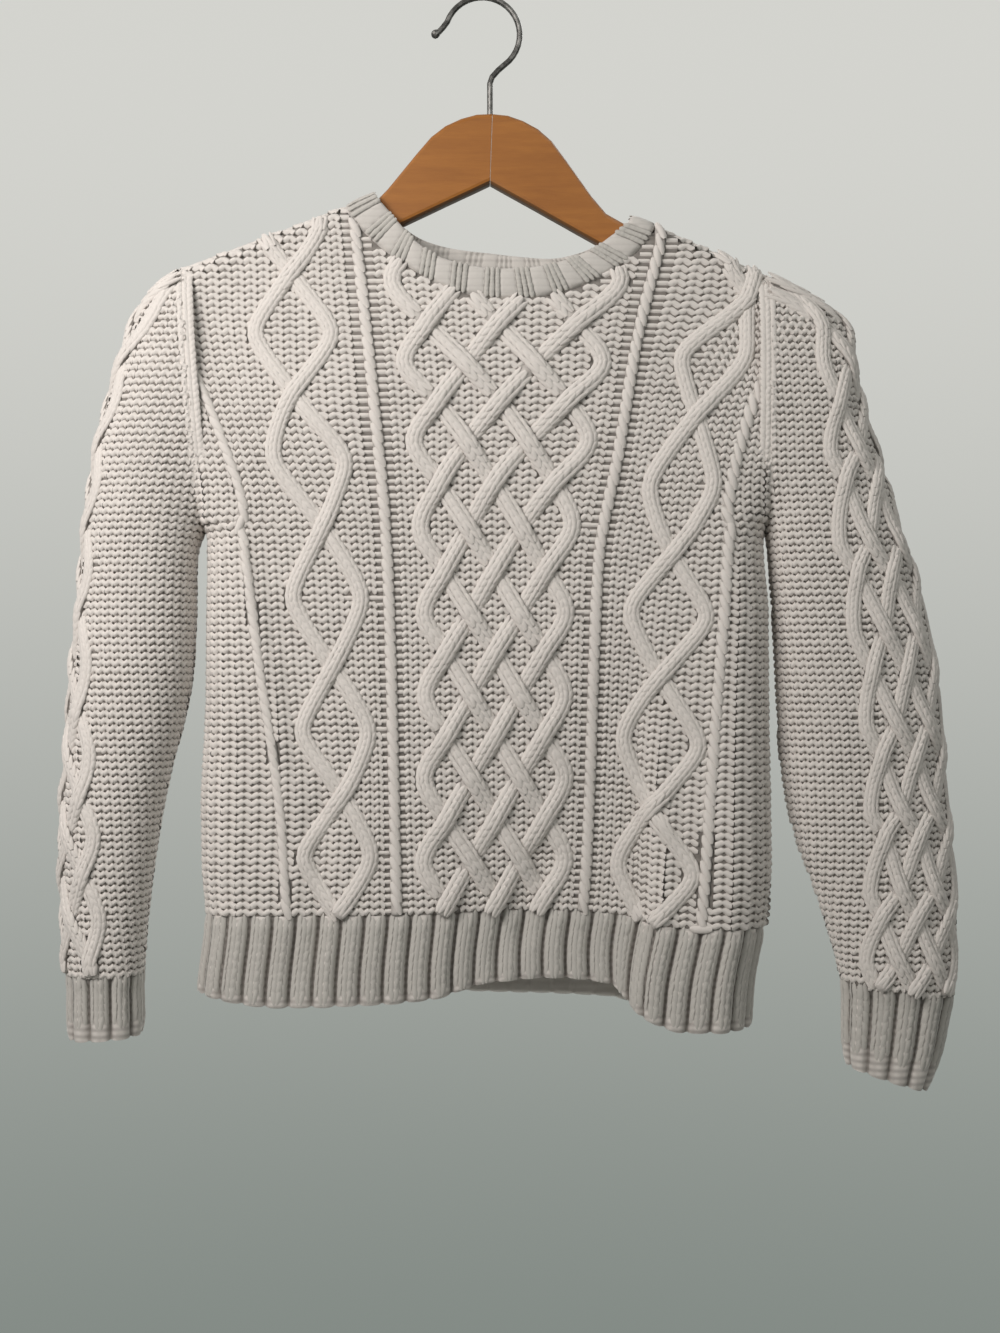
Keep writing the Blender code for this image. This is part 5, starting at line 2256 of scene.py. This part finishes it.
@dataclass
class Hanger:
    """The two wooden arms and the wire hook, which keep their own solids."""

    closet: Closet

    def dress(self) -> None:
        """Gives each solid its finish."""
        for name, material in (("hanger_arm_left", self.closet.wood),
                               ("hanger_arm_right", self.closet.wood),
                               ("hanger_hook", self.closet.steel)):
            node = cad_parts[name]
            node.data.materials.clear()
            node.data.materials.append(material)
            LOG.info("%s: dressed", name)


@dataclass
class Studio:
    """Floor, light and camera, in metres."""

    camera_x: float = 0.0115
    camera_z: float = -0.433
    distance: float = 1.05
    lens: float = 29.5
    sensor: float = 24.0
    floor_z: float = -1.25
    floor_radius: float = 0.75
    floor_sides: int = 96
    high: tuple[float, float, float] = (0.655, 0.655, 0.62)
    low: tuple[float, float, float] = (0.215, 0.245, 0.225)
    near_wall: float = 0.26

    def floor(self) -> None:
        """A plain pale round floor."""
        turn = np.linspace(0.0, 2.0 * math.pi, self.floor_sides + 1)[:-1]
        points = np.column_stack([np.cos(turn), np.sin(turn), np.zeros(self.floor_sides)])
        points = points * self.floor_radius / MM
        points[:, 2] = self.floor_z / MM
        made = new_mesh_object("floor", points, [list(range(self.floor_sides))])
        material = bpy.data.materials.new("pale floor")
        material.use_nodes = True
        shader = material.node_tree.nodes["Principled BSDF"]
        shader.inputs["Base Color"].default_value = (0.60, 0.62, 0.60, 1.0)
        shader.inputs["Roughness"].default_value = 0.8
        made.data.materials.append(material)

    def light(self, name: str, place: tuple, aim: tuple, size: float, power: float,
              colour: tuple = (1.0, 1.0, 1.0)) -> None:
        """One soft square lamp.

        Args:
            name: the lamp's name.
            place: where it stands, in metres.
            aim: the point that it lights.
            size: its side, in metres.
            power: its power, in watts.
            colour: red, green and blue.
        """
        data = bpy.data.lights.new(name, "AREA")
        data.shape = "SQUARE"
        data.size = size
        data.energy = power
        data.color = colour
        lamp = new_object(name, data)
        lamp.location = place
        toward = np.array(aim) - np.array(place)
        pan = math.atan2(toward[0], -toward[1])
        tip = math.atan2(-toward[2], math.hypot(toward[0], toward[1]))
        lamp.rotation_euler = (math.pi / 2.0 - tip, 0.0, pan + math.pi)

    def build(self) -> None:
        """Sets the stage, the lamps, the background and the camera."""
        self.floor()
        middle = (0.0, 0.0, -0.40)
        self.light("key", (-0.66, -0.72, 0.04), (-0.05, 0.0, -0.30), 0.5, 9.8, (1.0, 0.98, 0.965))
        self.light("fill", (0.7, -0.9, 0.45), (0.1, 0.0, -0.25), 1.0, 4.6, (0.96, 1.0, 0.98))
        self.light("back", (0.4, 1.5, 0.7), middle, 1.2, 12.0)
        world = bpy.data.worlds.new("studio")
        bpy.context.scene.world = world
        world.use_nodes = True
        tree = Tree(world.node_tree)
        _, away, height = tree.node("ShaderNodeTexCoord", out="Generated").parts()
        shade = tree.mix(height.soft(-0.47, 0.36), self.low, self.high)
        bright = self.near_wall + (1.0 - self.near_wall) * away.soft(-0.2, 0.75)
        glow = tree.node("ShaderNodeBackground", None, {"Color": shade, "Strength": bright})
        tree.node("ShaderNodeOutputWorld", None, {"Surface": glow})
        data = bpy.data.cameras.new("camera")
        data.sensor_fit = "VERTICAL"
        data.sensor_height = self.sensor
        data.lens = self.lens
        camera = new_object("camera", data)
        camera.location = (self.camera_x, -self.distance - 0.015, self.camera_z)
        camera.rotation_euler = (math.pi / 2.0, 0.0, 0.0)
        bpy.context.scene.camera = camera
        bpy.context.scene.view_settings.view_transform = "Standard"


def main() -> None:
    """Builds the sweater round its hanger, then the studio."""
    logging.basicConfig(level=logging.INFO, format="%(message)s")
    closet = Closet(
        knit=YarnFinish("knit yarn").make(),
        rib=YarnFinish("rib yarn", light=RIB_TONE_AND_SHADE).make(),
        knit_wall=YarnFinish("knit ground", row_grain_and_shade=True).make(),
        band=YarnFinish("neck band", light=BAND_TONE, row_grain_and_shade=True).make(),
        rib_wall=YarnFinish("rib ground", row_grain_and_shade=True).make(),
        wood=WoodFinish("varnished wood").make(),
        steel=SteelFinish("steel wire").make(),
        tree=stitch_tree("stitches on cloth"),
    )
    Studio().build()
    Hanger(closet).dress()
    for face in ("front", "back"):
        Panel(face, closet).build()
        band = Ribbing("hem_" + face, closet, False)
        band.build(hem_grid(face), HEM_RIBS, [face + "_cloth"])
    Sleeve("left", closet, SLEEVE_LEFT, CUFF_LEFT,
           axis=((-176.0, -6.0), (-280.0, -12.0), (-390.0, -8.0), (-470.0, 2.0),
                 (-541.0, 9.0), (-630.0, 10.0)),
           triple=(-185.0, -237.0, -289.0, -342.0, -398.0, -460.8, -516.0, -565.0, -620.0),
           double=(-211.0, -263.0, -315.0, -370.0, -430.0, -488.0, -540.0, -592.0),
           cuff_ribs=10).build()
    Sleeve("right", closet, SLEEVE_RIGHT, CUFF_RIGHT,
           axis=((-181.0, 0.0), (-264.0, 7.0), (-315.0, 19.0), (-374.0, 29.0),
                 (-436.0, 33.0), (-491.0, 32.0), (-541.0, 35.0), (-593.0, 41.0),
                 (-646.0, 42.0)),
           triple=(-212.0, -263.7, -314.9, -373.8, -435.8, -490.9, -541.4, -593.3, -640.0),
           double=(-188.0, -238.0, -294.4, -353.3, -409.0, -469.1, -524.2, -574.7, -620.2),
           cuff_ribs=11).build()
    Collar(closet).build()


if __name__ == "__main__":
    main()
